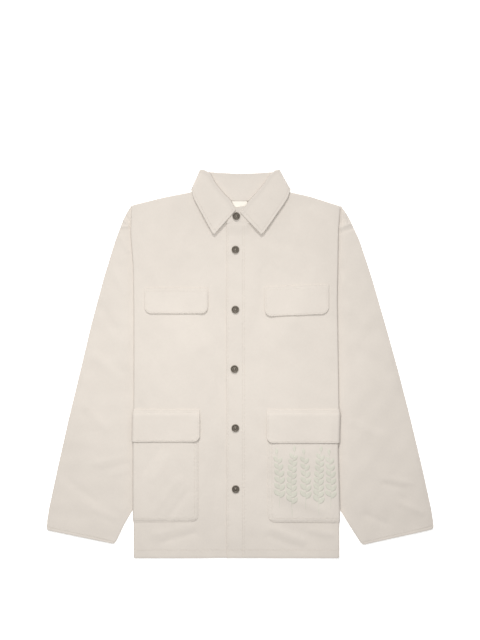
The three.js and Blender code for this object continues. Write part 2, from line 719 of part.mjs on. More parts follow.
// A pocket's flap is sewn to the front above the pocket and lies over its mouth.
function pocketFlapGeometry(side) {
  const onFront = PATCH_GAP;
  const onPocket = PATCH_GAP + WALL + LAYER_GAP;
  const mouth = POCKETS[side].top + MOUTH_CLEARANCE;
  const under = (y) => lerp(onPocket, onFront, smooth((y - mouth) / MOUTH_FALL));
  return sidePatchGeometry(side, POCKET_FLAPS[side], {
    wall: FLAP_WALL,
    under,
    angles: FLAP_TURN[side],
    more: [mouth, mouth + MOUTH_FALL / 2],
  });
}

function labelGeometry() {
  const rows = [LABEL.top - LABEL.height, LABEL.top - LABEL.height / 2, LABEL.top].map((y) =>
    [-0.5, 0, 0.5].map((share) => {
      const x = LABEL.x + share * LABEL.width;
      return flatPoint(x, y, collarLift(x, y) + WALL + LAYER_GAP + LABEL_WALL / 2);
    }),
  );
  return clothGeometry(rows, LABEL_WALL);
}

// A metal button: a turned cap with a raised rim, a sunk ring and a centre boss.
const BUTTON_PROFILE = [
  { r: 0, z: 0 },
  { r: 0.86, z: 0 },
  { r: 1, z: 0.3 },
  { r: 1, z: 0.66 },
  { r: 0.87, z: 1 },
  { r: 0.72, z: 0.96 },
  { r: 0.62, z: 0.7 },
  { r: 0.36, z: 0.66 },
  { r: 0.27, z: 0.86 },
  { r: 0, z: 0.94 },
];

function buttonGeometry(button, carrierTop) {
  const profile = BUTTON_PROFILE.map(
    ({ r, z }) => new THREE.Vector2(r * BUTTON_RADIUS, z * BUTTON_HEIGHT),
  );
  const geometry = new THREE.LatheGeometry(profile, BUTTON_SIDES);
  geometry.rotateX(Math.PI / 2);
  geometry.translate(button.x, button.y, carrierTop);
  return geometry;
}

const jacket = new THREE.Group();

addPiece("back", backGeometry(), canvasCloth);
["right", "left"].forEach((side) => {
  addPiece("front_" + side, frontGeometry(side), canvasCloth);
  addPiece("sleeve_" + side, sleeveGeometry(side), canvasCloth);
  addPiece("chest_flap_" + side, chestFlapGeometry(side), canvasCloth);
  addPiece("pocket_" + side, pocketGeometry(side), canvasCloth);
  addPiece("pocket_flap_" + side, pocketFlapGeometry(side), canvasCloth);
});
addPiece("collar_stand", bandGeometry(STAND_LINE, "top", "seam", STAND_SHARES, 0), canvasCloth);
addPiece("collar_leaf", bandGeometry(LEAF_LINE, "roll", "edge", LEAF_SHARES, LEAF_CROWN), canvasCloth);
addPiece("neck_label", labelGeometry(), labelCloth);

BUTTONS.forEach((button, i) => {
  const onStand = button.y > NECK_SEAM_Y;
  const panelTop = frontMiddle("left", button.x, button.y) + WALL / 2;
  const carrierTop = onStand ? STAND_END_TOP : panelTop;
  addPiece("button_" + (i + 1), buttonGeometry(button, carrierTop + SEAM_GAP), buttonMetal);
});

export default jacket;
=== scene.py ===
# %% [markdown]
# # A chore jacket, laid flat
# The object is a canvas work jacket, buttoned up and laid on its back on a pale table, with
# both sides of its body folded straight under. The solids of the frame already lie where the
# real layers lie. This lesson dresses each of them with a cloth shell of the same shape, with
# soft folds, sewn edges, thread and a woven finish, and replaces the plain solids with them.

import json

import bmesh
import bpy
import numpy as np
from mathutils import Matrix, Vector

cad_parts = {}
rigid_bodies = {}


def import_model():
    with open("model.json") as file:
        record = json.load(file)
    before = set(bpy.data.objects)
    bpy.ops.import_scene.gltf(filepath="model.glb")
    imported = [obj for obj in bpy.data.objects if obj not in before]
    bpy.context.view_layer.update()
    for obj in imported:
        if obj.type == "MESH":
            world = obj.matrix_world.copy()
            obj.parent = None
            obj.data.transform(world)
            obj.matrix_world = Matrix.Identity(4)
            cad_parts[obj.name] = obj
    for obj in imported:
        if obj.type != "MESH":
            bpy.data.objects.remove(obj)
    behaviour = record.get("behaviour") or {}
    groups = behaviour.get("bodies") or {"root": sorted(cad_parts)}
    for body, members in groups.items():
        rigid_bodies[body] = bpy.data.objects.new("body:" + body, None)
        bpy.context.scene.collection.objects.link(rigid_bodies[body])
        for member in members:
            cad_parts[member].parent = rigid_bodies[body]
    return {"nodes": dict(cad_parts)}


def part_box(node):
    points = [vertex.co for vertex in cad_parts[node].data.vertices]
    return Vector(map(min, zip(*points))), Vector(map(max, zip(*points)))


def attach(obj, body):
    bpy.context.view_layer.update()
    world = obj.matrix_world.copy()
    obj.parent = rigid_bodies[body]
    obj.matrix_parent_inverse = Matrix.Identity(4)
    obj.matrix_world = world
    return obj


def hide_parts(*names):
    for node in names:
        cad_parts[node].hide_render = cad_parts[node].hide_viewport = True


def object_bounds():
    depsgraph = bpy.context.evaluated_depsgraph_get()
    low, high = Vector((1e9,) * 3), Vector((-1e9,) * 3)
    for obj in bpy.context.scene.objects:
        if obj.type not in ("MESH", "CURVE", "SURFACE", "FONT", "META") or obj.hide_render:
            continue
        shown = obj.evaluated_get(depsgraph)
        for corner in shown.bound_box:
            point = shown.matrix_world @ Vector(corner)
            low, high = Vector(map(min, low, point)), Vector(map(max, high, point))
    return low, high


for starter in list(bpy.data.objects):
    bpy.data.objects.remove(starter)
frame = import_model()
cad_low, cad_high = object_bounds()
print("frame:", len(frame["nodes"]), "nodes, box", [round(s, 4) for s in cad_high - cad_low])

# %% [markdown]
# ## The sizes of the pattern
# A tailor works from a few sizes and from outlines. They are kept in millimetres here, as on
# a paper pattern, and turned to metres only where points go into a mesh. The outlines are the
# ones the solids were made from, so every shell lies on its solid.

# %% Sizes of the cloth and of the stack of layers
MM = 0.001
WALL = 1.2
COLLAR_WALL = 1.6
FLAP_WALL = 1.4
LABEL_WALL = 1.0
LAYER_GAP = 0.4
PATCH_GAP = 0.65
PITCH = WALL + LAYER_GAP
HEM_Y = -400.0
PIT_Y = 71.0
SHOULDER_Y = 328.0
TUCK = 85.0
TUCK_LEAST = 4.0
FRONT_TURN = 1.5 * PITCH
BACK_TURN = 0.5 * PITCH
CREASE_INSET = FRONT_TURN + WALL / 2
SLEEVE_LAYERS = 1.5
SLEEVE_STACK = 2 * WALL + 0.3 + LAYER_GAP
SIGN = {"right": -1.0, "left": 1.0}
PLACKET_EDGE_X = -27.5
PLACKET_SEAM_X = 5.2
UNDERLAP_EDGE_X = 5.0
CHEST_Y = 250.0

# %% Outlines of the silhouette: the side creases and the edges of the sleeves
SIDE_CREASE = {
    "right": [(330, -224.6), (272, -226.5), (202, -221.1), (98, -219.8), (-400, -220.5)],
    "left": [
        (330, 207.5), (278, 203.7), (134, 201.2), (-92, 204.7),
        (-175, 201.4), (-295, 204.9), (-400, 205.6),
    ],
}
SLEEVE_OUTER = {
    "right": [
        (330, -224.5), (324, -230.2), (307, -239.9), (258, -258.5), (183, -281.5),
        (84, -308), (-15, -331.4), (-115, -355.6), (-214, -377.8), (-297, -395.6), (-342, -402.5),
    ],
    "left": [
        (330, 208), (324, 213.6), (307, 224.8), (258, 247.4), (183, 272),
        (84, 300.6), (-15, 328.1), (-115, 353.6), (-214, 377.2), (-297, 395.4), (-340, 402.5),
    ],
}
SLEEVE_INNER = {
    "right": [
        (71, -135), (0, -138), (-75, -146.5), (-150, -163), (-225, -187.5),
        (-299, -221), (-330, -239.3), (-371.5, -259),
    ],
    "left": [
        (71, 117), (0, 120.5), (-75, 130.5), (-150, 146), (-225, 171),
        (-299, 205.5), (-330, 224.6), (-373.5, 252.3),
    ],
}
BACK_TOP = [
    (-225, 328), (-157, 345), (-88, 359), (-70, 351), (-45, 345), (0, 342),
    (45, 345), (72, 351), (92, 358.5), (141, 347.5), (209, 326),
]
FRONT_TOP = {
    "right": [
        (-225, 328), (-157, 345), (-88, 359), (-79, 338), (-66, 318.5),
        (-49, 303), (-28, 291), (6, 291),
    ],
    "left": [
        (-28, 291), (30, 291.5), (52, 303), (70, 318), (83, 338),
        (92, 358.5), (141, 347.5), (209, 326),
    ],
}

# %% [markdown]
# ## Reading an outline, and the way the layers lift each other
# Cloth lies on what is below it and settles to the table beyond it. Each lift is a smooth
# step in the distance from the edge of the layer below, so the height of the front at any
# spot is the sum of a few such steps. That is much steadier than dropping cloth by
# simulation, and every piece that lies on the front can ask for the same height.

# %% Helpers that read tables and make smooth steps
def ease(t):
    """A smooth step: 3 t^2 - 2 t^3 between 0 and 1, flat outside."""
    t = np.clip(t, 0, 1)
    return t * t * (3 - 2 * t)


def outline(table, at, round_by=6.0):
    """The second column at the value "at" of the first: straight steps between the rows,
    averaged over a short stretch either way, which rounds the corners."""
    known, value = np.array(sorted(table), float).T
    shifts = np.linspace(-round_by, round_by, 5)
    return np.mean([np.interp(at + s, known, value) for s in shifts], axis=0)


def crease_x(side, y):
    return outline(SIDE_CREASE[side], y)


def tuck_width(y):
    """85 mm below the armhole, and above it a quarter of an ellipse up to the shoulder."""
    rise = np.clip((SHOULDER_Y - y) / (SHOULDER_Y - PIT_Y), 0, 1)
    return TUCK_LEAST + (TUCK - TUCK_LEAST) * (1 - np.sqrt(1 - rise * rise))


def sleeve_reach(y):
    """How far the sleeve reaches in under the body, negative once it has come out."""
    fall = np.clip((PIT_Y - y) / (PIT_Y + 299), 0, None)
    return np.where(y > PIT_Y, tuck_width(y), TUCK * (1 - fall**2.2))


def felt(width, y):
    """An edge below as the cloth above feels it: its mean over 60 mm of height."""
    return np.mean([width(y + shift) for shift in np.linspace(-30, 30, 7)], axis=0)


def settle(beyond):
    return 1 - ease(beyond / 86)


def depth_in(side, x, y):
    return np.abs(x - crease_x(side, y)) - CREASE_INSET


def sleeve_lift(depth, y):
    return SLEEVE_STACK * settle(depth - felt(sleeve_reach, y) - 22)


def collar_lift(x, y):
    """Lift by the collar leaf below: 2 mm over it, settling over 48 mm beyond its edge."""
    across = np.clip(np.abs(x) / 112, 0, 1)
    foot = 311 + (345 - 311) * across * across
    below = ease((foot - y) / 48)
    beside = ease((np.abs(x) - 112) / 48)
    return (COLLAR_WALL + LAYER_GAP) * (1 - below) * (1 - beside)


def back_height(side, x, y):
    depth = depth_in(side, x, y)
    tuck_lift = 2 * PITCH * settle(depth - felt(tuck_width, y) - 22)
    return sleeve_lift(depth, y) + tuck_lift + collar_lift(x, y) + WALL / 2


def front_height(side, x, y):
    lap = 0 if side == "right" else PITCH * (1 - ease((x - UNDERLAP_EDGE_X - 7) / 36))
    return back_height(side, x, y) + PITCH + lap


# %% [markdown]
# ## Soft folds
# Canvas keeps a memory of how it was folded. The marks on this jacket are few and shallow:
# short creases where the sleeve hangs off the shoulder, a pucker at the other shoulder, soft
# troughs above the hem and across the pockets. Each is one row of a table with its two ends,
# its width and its height. A sheet that is pressed flat is still never a plane, so slow waves
# lie under the folds.

# %% Fold tables and the two relief functions
FOLD = np.dtype([(k, float) for k in ("x0", "y0", "x1", "y1", "wide", "high")])
BODY_FOLDS = np.array(
    [
        (-168, 32, -196, -38, 9, -0.7),
        (-150, -190, -178, -236, 8, 0.7),
        (-164, -172, -196, -218, 7, -0.6),
        (-128, -240, -176, -300, 9, 0.8),
        (-108, -262, -150, -318, 7, -0.7),
        (-100, -334, -176, -352, 8, 0.7),
        (-96, -350, -160, -368, 6, -0.8),
        (-196, -20, -204, -74, 6, 0.5),
        (-60, 150, -48, 60, 8, 0.5),
        (-52, 40, -44, -60, 7, -0.5),
        (32, 20, 44, -70, 8, 0.6),
        (46, 196, 40, 110, 7, -0.5),
        (70, -340, 130, -364, 8, 0.9),
        (60, -356, 128, -382, 7, -0.8),
        (146, -344, 196, -352, 7, 0.7),
        (96, -196, 150, -176, 9, 0.6),
        (84, -272, 168, -300, 9, 0.6),
        (160, 118, 150, 196, 9, 0.5),
        (120, 176, 60, 205, 10, -0.5),
        (150, 322, 172, 298, 6, 0.8),
        (-206, 300, -192, 262, 6, 0.4),
        (-180, 200, -150, 120, 11, 0.5),
        (40, -214, 52, -300, 8, 0.5),
        (-44, -204, -52, -290, 8, -0.5),
    ],
    FOLD,
)
SLEEVE_FOLDS = np.array(
    [
        (-237, 308, -227.5, 294.5, 2.0, -2.4),
        (-227.5, 294.5, -228.5, 281, 2.0, -2.0),
        (-242, 301, -236, 293, 2.6, 1.8),
        (-247, 286, -233, 286, 3.6, 1.8),
        (-246, 262, -232, 236, 6, 1.0),
        (-240, 250, -262, 240, 45, 1.5),
        (-262, 196, -240, 150, 9, 0.9),
        (-290, 120, -262, 78, 10, -0.8),
        (-300, 16, -250, -26, 10, 0.9),
        (-236, -190, -296, -204, 7, 0.5),
        (-232, -206, -288, -218, 6, -0.5),
        (-234, -222, -270, -230, 5, 0.4),
        (-318, -90, -276, -132, 10, 0.8),
        (-352, -244, -300, -282, 9, -0.7),
        (-300, -300, -258, -318, 8, 0.7),
        (211.5, 320, 211, 286, 1.8, -1.5),
        (214, 314, 221, 294, 2.4, 1.6),
        (207, 284, 234, 293, 3.0, 2.2),
        (210, 274, 238, 283, 3, -1.2),
        (214, 196, 226, 172, 9, -1.4),
        (224, 120, 262, 84, 10, 0.8),
        (252, 30, 300, -20, 11, -0.8),
        (300, -236, 356, -246, 6, 0.7),
        (296, -248, 340, -256, 5, -0.7),
        (232, -120, 290, -146, 9, 0.9),
        (330, -286, 376, -306, 7, 1.0),
        (262, -312, 300, -328, 7, -0.8),
    ],
    FOLD,
)


def fold_relief(folds, x, y):
    """Sum over the folds of high * exp(-(d / wide)^2), d being the distance to its line."""
    run_x, run_y = folds["x1"] - folds["x0"], folds["y1"] - folds["y0"]
    from_x, from_y = x[..., None] - folds["x0"], y[..., None] - folds["y0"]
    along = (from_x * run_x + from_y * run_y) / (run_x**2 + run_y**2)
    along = np.clip(along, 0, 1)
    gap = np.hypot(from_x - along * run_x, from_y - along * run_y)
    return (folds["high"] * np.exp(-((gap / folds["wide"]) ** 2))).sum(-1)


def slack(x, y, turn, high):
    """Slow waves: the mean of five sines of unlike lengths and headings, from 0 to high."""
    length = np.array([236.0, 151.0, 97.0, 64.0, 43.0])
    heading = np.radians([24, 78, 133, 168, 52]) + turn
    phase = np.array([0.4, 2.1, 4.0, 5.3, 1.2]) + 3 * turn
    run = x[..., None] * np.cos(heading) + y[..., None] * np.sin(heading)
    waves = (np.sin(2 * np.pi * run / length + phase) * (length / 236) ** 0.35).mean(-1)
    return high * (0.5 + 0.5 * np.tanh(2.2 * waves))


def front_relief(side, x, y):
    """Folds and slack of a front, and of all that lies on it. Both fade out at the side crease,
    and under the collar, which presses the cloth flat. The placket is a doubled strip, so it
    stands a little higher up to its seam, and it climbs to the stand at the neck."""
    depth = depth_in(side, x, y)
    pressed = ease((y - 226) / 30) * (1 - ease((np.abs(x) - 104) / 20))
    loose = ease(depth / 14) * (1 - pressed)
    soft = fold_relief(BODY_FOLDS, x, y) + slack(x, y, 0.3 * SIGN[side], 1.5)
    strip = 0.0
    if side == "left":
        strip = 0.28 * (1 - ease((x - PLACKET_SEAM_X + 2.5) / 4)) * (1 - pressed)
        strip = strip + 3.0 * ease((y - 264) / 27) * ease((x + 33) / 12) * ease((24 - x) / 12)
    return np.maximum(soft, -0.25) * loose + strip


def front_cloth(side, x, y):
    return front_height(side, x, y) + front_relief(side, x, y)


print("folds:", len(BODY_FOLDS), "on the body,", len(SLEEVE_FOLDS), "on the sleeves")

# %% [markdown]
# ## From a grid of points to a piece of cloth
# Every piece is first a sheet without thickness: rows and columns of points half way through
# the cloth. Real cloth has two faces and an edge you can feel, so the grid is moved out and
# in along its normals by half the thickness, and wherever the cloth ends, half a circle joins
# the two faces. A Solidify modifier could do the walls, but not the round edge.

# %% Mesh helpers
def new_object(name, points, quads, corner_uv=None, marks=None):
    """A mesh from arrays: points in millimetres, quads as indices, UV a corner, marks a point."""
    mesh = bpy.data.meshes.new(name)
    mesh.vertices.add(len(points))
    mesh.vertices.foreach_set("co", (points * MM).ravel())
    mesh.loops.add(quads.size)
    mesh.loops.foreach_set("vertex_index", quads.ravel())
    mesh.polygons.add(len(quads))
    mesh.polygons.foreach_set("loop_start", np.arange(0, quads.size, 4))
    mesh.update(calc_edges=True)
    mesh.polygons.foreach_set("use_smooth", np.ones(len(quads), bool))
    if corner_uv is not None:
        mesh.uv_layers.new(name="cut").uv.foreach_set("vector", (corner_uv * MM).ravel())
    for mark, values in (marks or {}).items():
        mesh.attributes.new(mark, "FLOAT", "POINT").data.foreach_set("value", values)
    mesh.validate()
    piece = bpy.data.objects.new(name, mesh)
    bpy.context.scene.collection.objects.link(piece)
    return piece


def unit(vectors):
    return vectors / np.maximum(np.linalg.norm(vectors, axis=-1, keepdims=True), 1e-9)


def grid_normals(points, closed):
    """Normal at each point of a grid: the cross product of its two central differences."""
    up = np.gradient(points, axis=0)
    if closed:
        across = np.roll(points, -1, axis=1) - np.roll(points, 1, axis=1)
    else:
        across = np.gradient(points, axis=1)
    return unit(np.cross(across, up))


def border(rows, cols, closed):
    """Pairs of point numbers that walk round the free edges with the cloth on the left."""
    every = np.arange(cols)
    if closed:
        onward = np.roll(every, -1)
        foot = np.stack([every, onward], 1)
        head = np.stack([onward, every], 1) + (rows - 1) * cols
        return np.concatenate([foot, head])
    side = np.arange(1, rows) * cols + cols - 1
    head = (rows - 1) * cols + np.arange(cols - 2, -1, -1)
    back = np.arange(rows - 2, 0, -1) * cols
    loop = np.concatenate([every, side, head, back])
    return np.stack([loop, np.roll(loop, -1)], 1)


# %% The cloth shell
def cloth_shell(name, middle, wall, seam=None, closed=False, roll=None):
    """Closed shell of a grid of middle points: both faces at middle +- normal * wall / 2, and
    half a circle of that radius round each free edge. The UV map is the cut in metres: lengths
    along the columns and rows. The wall is one number or one a point. "seam" is the distance
    to the nearest line of sewing and "roll" is painted shade: 1 on a line where the cloth
    rolls over, where the finish darkens the colour."""
    rows, cols = middle.shape[:2]
    normal = grid_normals(middle, closed)
    half = np.broadcast_to(wall / 2, (rows, cols)).reshape(-1, 1)
    flat_middle, flat_normal = middle.reshape(-1, 3), normal.reshape(-1, 3)

    pairs = border(rows, cols, closed)
    edge = pairs[:, 0]
    j, i = edge // cols, edge % cols
    inner_i = i if closed else np.clip(i, 1, cols - 2)
    away = flat_middle[edge] - middle[np.clip(j, 1, rows - 2), inner_i]
    away = unit(away - (away * flat_normal[edge]).sum(-1, keepdims=True) * flat_normal[edge])
    turns = np.radians([40, 90, 140])
    rim = [
        flat_middle[edge] + half[edge] * (np.cos(t) * flat_normal[edge] + np.sin(t) * away)
        for t in turns
    ]
    points = np.concatenate(
        [flat_middle + half * flat_normal, flat_middle - half * flat_normal, *rim]
    )

    wide = cols if closed else cols - 1
    jj, ii = np.meshgrid(np.arange(rows - 1), np.arange(wide), indexing="ij")
    a, b = (jj * cols + ii).ravel(), (jj * cols + (ii + 1) % cols).ravel()
    skin = np.stack([a, b, b + cols, a + cols], 1)
    under = skin[:, [0, 3, 2, 1]] + rows * cols
    place = np.zeros(rows * cols, int)
    place[edge] = np.arange(len(edge))
    here, there = place[pairs[:, 0]], place[pairs[:, 1]]
    base = 2 * rows * cols
    steps = [pairs.T] + [
        np.stack([here, there]) + base + k * len(edge) for k in range(len(rim))
    ]
    steps.append(pairs.T + rows * cols)
    bands = [
        np.stack([upper[0], lower[0], lower[1], upper[1]], 1)
        for upper, lower in zip(steps[:-1], steps[1:])
    ]
    quads = np.concatenate([skin, under, *bands])

    ring = np.concatenate([middle, middle[:, :1]], 1) if closed else middle
    u = np.linalg.norm(np.diff(ring, axis=1), axis=-1).cumsum(1)
    u = np.concatenate([np.zeros((rows, 1)), u], 1)
    v = np.linalg.norm(np.diff(ring, axis=0), axis=-1).cumsum(0)
    v = np.concatenate([np.zeros((1, ring.shape[1])), v])
    cut = np.stack([u, v], -1)
    jj, ii = jj.ravel(), ii.ravel()
    skin_uv = np.stack([cut[jj, ii], cut[jj, ii + 1], cut[jj + 1, ii + 1], cut[jj + 1, ii]], 1)
    first = cut[pairs[:, 0] // cols, pairs[:, 0] % cols]
    second = cut[pairs[:, 1] // cols, pairs[:, 1] % cols]
    band_uv = np.stack([first, first, second, second], 1)
    corner_uv = np.concatenate([skin_uv, skin_uv[:, [0, 3, 2, 1]]] + [band_uv] * len(bands))

    seam = np.full((rows, cols), 30.0) if seam is None else np.clip(seam, 0, 30)
    roll = np.broadcast_to(0.0 if roll is None else roll, (rows, cols))
    marks = {
        key: np.concatenate([values.ravel(), values.ravel()] + [values.ravel()[edge]] * len(rim))
        for key, values in (("seam", seam * MM), ("roll", roll))
    }
    piece = new_object(name, points, quads, corner_uv, marks)
    sides = np.cross(
        ring[:-1, 1:] - ring[:-1, :-1], ring[1:, :-1] - ring[:-1, :-1]
    )
    piece["cloth_area"] = float(np.linalg.norm(sides, axis=-1).sum()) * MM * MM
    print(f"{name}: {len(quads)} quads, {piece['cloth_area']:.3f} square metres of cloth")
    return piece


def steps_with(start, end, step, lines=(), near=(-3.2, -1.6, -0.7, 0, 0.7, 1.6, 3.2)):
    """Even steps from start to end, with a few closer ones about each line of sewing."""
    even = np.linspace(start, end, max(2, int(round((end - start) / step)) + 1))
    close = np.add.outer(np.asarray(lines, float), near).ravel()
    close = close[(close > start + 0.4) & (close < end - 0.4)]
    far = np.ones(len(even), bool)
    if len(close):
        far = np.abs(even[:, None] - close).min(1) > 0.45
    far[[0, -1]] = True
    return np.sort(np.concatenate([even[far], close]))


def path_distance(lines, x, y):
    """Distance from each point to the nearest of the lines, each an array of plan points."""
    best = np.full(x.shape, 30.0)
    for line in lines:
        starts, runs = line[:-1, :2], np.diff(line[:, :2], axis=0)
        from_x, from_y = x[..., None] - starts[:, 0], y[..., None] - starts[:, 1]
        along = (from_x * runs[:, 0] + from_y * runs[:, 1]) / ((runs**2).sum(1) + 1e-9)
        along = np.clip(along, 0, 1)
        gap = np.hypot(from_x - along * runs[:, 0], from_y - along * runs[:, 1])
        best = np.minimum(best, gap.min(-1))
    return best


# %% [markdown]
# ## Fronts and back
# Each panel is one piece that starts under the body at the side seam, turns round the side
# crease and runs to the centre. Its parameters are the place across, first along the tuck,
# then round the turn, then inwards on top, and the height. The front turns round outside
# the back, with a larger radius.

# %% Panel sheets
LOW_ROWS = steps_with(HEM_Y, CHEST_Y, 3.4, [HEM_Y + 16])
NECK_ROWS = np.linspace(0, 1, 28)[1:]
HEM_CORNER = 4.0


def row_heights(top):
    """Common rows up to the chest, then even shares of the rest up to each column's top."""
    low = np.repeat(LOW_ROWS[:, None], len(top), 1)
    return np.concatenate([low, CHEST_Y + (top - CHEST_Y) * NECK_ROWS[:, None]])


def column_x(side, depth, y):
    """x at a distance in from the crease: wavy with the crease beside it, straight near the
    centre."""
    hem = crease_x(side, np.float64(HEM_Y))
    waver = (crease_x(side, y) - hem) * (1 - ease((depth - 85) / 75))
    return hem - SIGN[side] * (CREASE_INSET + depth) + waver


def corner_rise(beside, up, radius):
    """How far a hem or a cuff is drawn up "beside" millimetres from its folded end: a quarter
    of a circle, fading out over 14 mm up the edge."""
    near = np.clip(1 - beside / radius, 0, 1)
    return radius * (1 - np.sqrt(1 - near**2)) * (1 - ease(up / 14))


def panel_sheet(side, depths, radius, level, top_edge, height):
    """Grid of a panel's half: the tuck below, the turn, and the top."""
    share = np.linspace(1, 0, 15)
    y = row_heights(np.full(len(share), SHOULDER_Y - 2))
    depth = tuck_width(y) * share
    x = crease_x(side, y) - SIGN[side] * (CREASE_INSET + depth)
    z = sleeve_lift(depth, y) + collar_lift(x, y) + WALL / 2 + level * PITCH
    tuck = np.stack([x, y, z], -1)

    angle = np.radians(np.linspace(-90, 90, 9)[1:-1])
    y = row_heights(np.full(len(angle), SHOULDER_Y - 1))
    centre_x = crease_x(side, y) - SIGN[side] * CREASE_INSET
    centre_z = sleeve_lift(0, y) + collar_lift(centre_x, y) + WALL / 2 + FRONT_TURN
    x = centre_x + SIGN[side] * radius * np.cos(angle)
    turn = np.stack([x, y, centre_z + radius * np.sin(angle)], -1)

    top = outline(top_edge, column_x(side, depths, np.float64(SHOULDER_Y)), 3)
    y = row_heights(top)
    x = column_x(side, depths, y)
    flat = np.stack([x, y, height(side, x, y)], -1)
    grid = np.concatenate([tuck, turn, flat], 1)
    beside = np.abs(grid[..., 0] - crease_x(side, grid[..., 1]))
    grid[..., 1] += corner_rise(beside, grid[..., 1] - HEM_Y, HEM_CORNER)
    return grid


HEM_LINE_Y = HEM_Y + 16
HEM_SLACK = 0.7
PLACKET_LINES = (PLACKET_EDGE_X + 2.6, PLACKET_SEAM_X, PLACKET_SEAM_X + 4)


def front_piece(side):
    edge_x = PLACKET_EDGE_X if side == "left" else UNDERLAP_EDGE_X
    hem_x = crease_x(side, np.float64(HEM_Y))
    edge = abs(edge_x - hem_x) - CREASE_INSET
    lines = [edge - (x - edge_x) for x in PLACKET_LINES] if side == "left" else []
    depths = steps_with(0, edge, 3.2, lines)
    grid = panel_sheet(side, depths, FRONT_TURN, 0, FRONT_TOP[side], front_cloth)
    if side == "left":
        grid = grid[:, ::-1]
    x, y = grid[..., 0], grid[..., 1]
    seam = np.abs(y - HEM_LINE_Y) + HEM_SLACK
    if side == "left":
        for line in PLACKET_LINES:
            seam = np.minimum(seam, np.abs(x - line) + (y > 286) * 30)
    return cloth_shell("jacket_front_" + side, grid, WALL, seam)


def back_piece():
    """Both halves of the back with one column between them at the centre."""
    depths = steps_with(0, 206, 4.6)
    halves = [
        panel_sheet(side, depths, BACK_TURN, 1, BACK_TOP, back_height)
        for side in ("right", "left")
    ]
    grid = np.concatenate([halves[0], halves[1][:, ::-1]], 1)
    return cloth_shell("jacket_back", grid, WALL, np.abs(grid[..., 1] - HEM_LINE_Y))


fronts = {side: front_piece(side) for side in ("right", "left")}
back = back_piece()

# %% [markdown]
# ## Sleeves
# A sleeve is a tube: one piece of cloth with a seam on the inside. Laid flat it has an upper
# and a lower layer, a fold along its outer edge and the seam along its inner edge. The grid
# goes once round the tube, and its rows run from the cuff to the curve of the armhole, which
# lies hidden under the body.

# %% Sleeve tubes
CUFF_LINES = (5.0,)
CUFF_CORNER = 5.0
CAP_HEIGHT = 90.0
ARMHOLE_DIVE = 12


def sleeve_plan(side, share, climb):
    """Plan position between the outer edge (share 0) and the inner edge (share 1), "climb" of
    the way up: a straight line between the two edges, plus climb^4 of the armhole's curve."""
    outer_y, outer_x = np.array(SLEEVE_OUTER[side], float).T
    inner_y, inner_x = np.array(SLEEVE_INNER[side], float).T
    oy = outer_y[-1] + (outer_y[0] - outer_y[-1]) * climb
    iy = inner_y[-1] + (inner_y[0] - inner_y[-1]) * climb
    ox, ix = outline(SLEEVE_OUTER[side], oy), outline(SLEEVE_INNER[side], iy)
    angle = share * np.pi / 2
    arm_y = outer_y[0] - (outer_y[0] - inner_y[0]) * np.sin(angle)
    dive = SIGN[side] * ARMHOLE_DIVE * np.sqrt(np.sin(angle)) * np.cos(angle)
    arm_x = outer_x[0] + (inner_x[0] - outer_x[0]) * (1 - np.cos(angle)) - dive
    chord_x = outer_x[0] + (inner_x[0] - outer_x[0]) * share
    chord_y = outer_y[0] + (inner_y[0] - outer_y[0]) * share
    bend = climb**4
    x = ox + (ix - ox) * share + (arm_x - chord_x) * bend
    y = oy + (iy - oy) * share + (arm_y - chord_y) * bend
    return x, y, ox


def sleeve_swell(side, x, y, outer_x):
    """Height of the upper layer over its pressed place: a soft swell, slack and folds, all
    only where the sleeve is out in the open."""
    beyond = (x - crease_x(side, y)) * SIGN[side]
    fold = np.abs(outer_x - x)
    open_air = ease((beyond - 4) / 22) * ease((fold + 4) / 24)
    loose = slack(x, y, 1.1 + 0.5 * SIGN[side], 1.6) * ease((beyond - 5) / 9) * ease(fold / 9)
    marked = fold_relief(SLEEVE_FOLDS, x, y) * ease((beyond + 1) / 4) * ease(fold / 2)
    return 1.7 * open_air + np.maximum(loose + marked, -1.2 - 0.9 * open_air)


def sleeve_top(side, share, climb):
    """Middle of the upper layer."""
    x, y, outer_x = sleeve_plan(side, share, climb)
    return np.stack([x, y, WALL / 2 + SLEEVE_LAYERS + sleeve_swell(side, x, y, outer_x)], -1)


def sleeve_length(side):
    outer, inner = SLEEVE_OUTER[side], SLEEVE_INNER[side]
    return (outer[0][0] - outer[-1][0] + inner[0][0] - inner[-1][0]) / 2


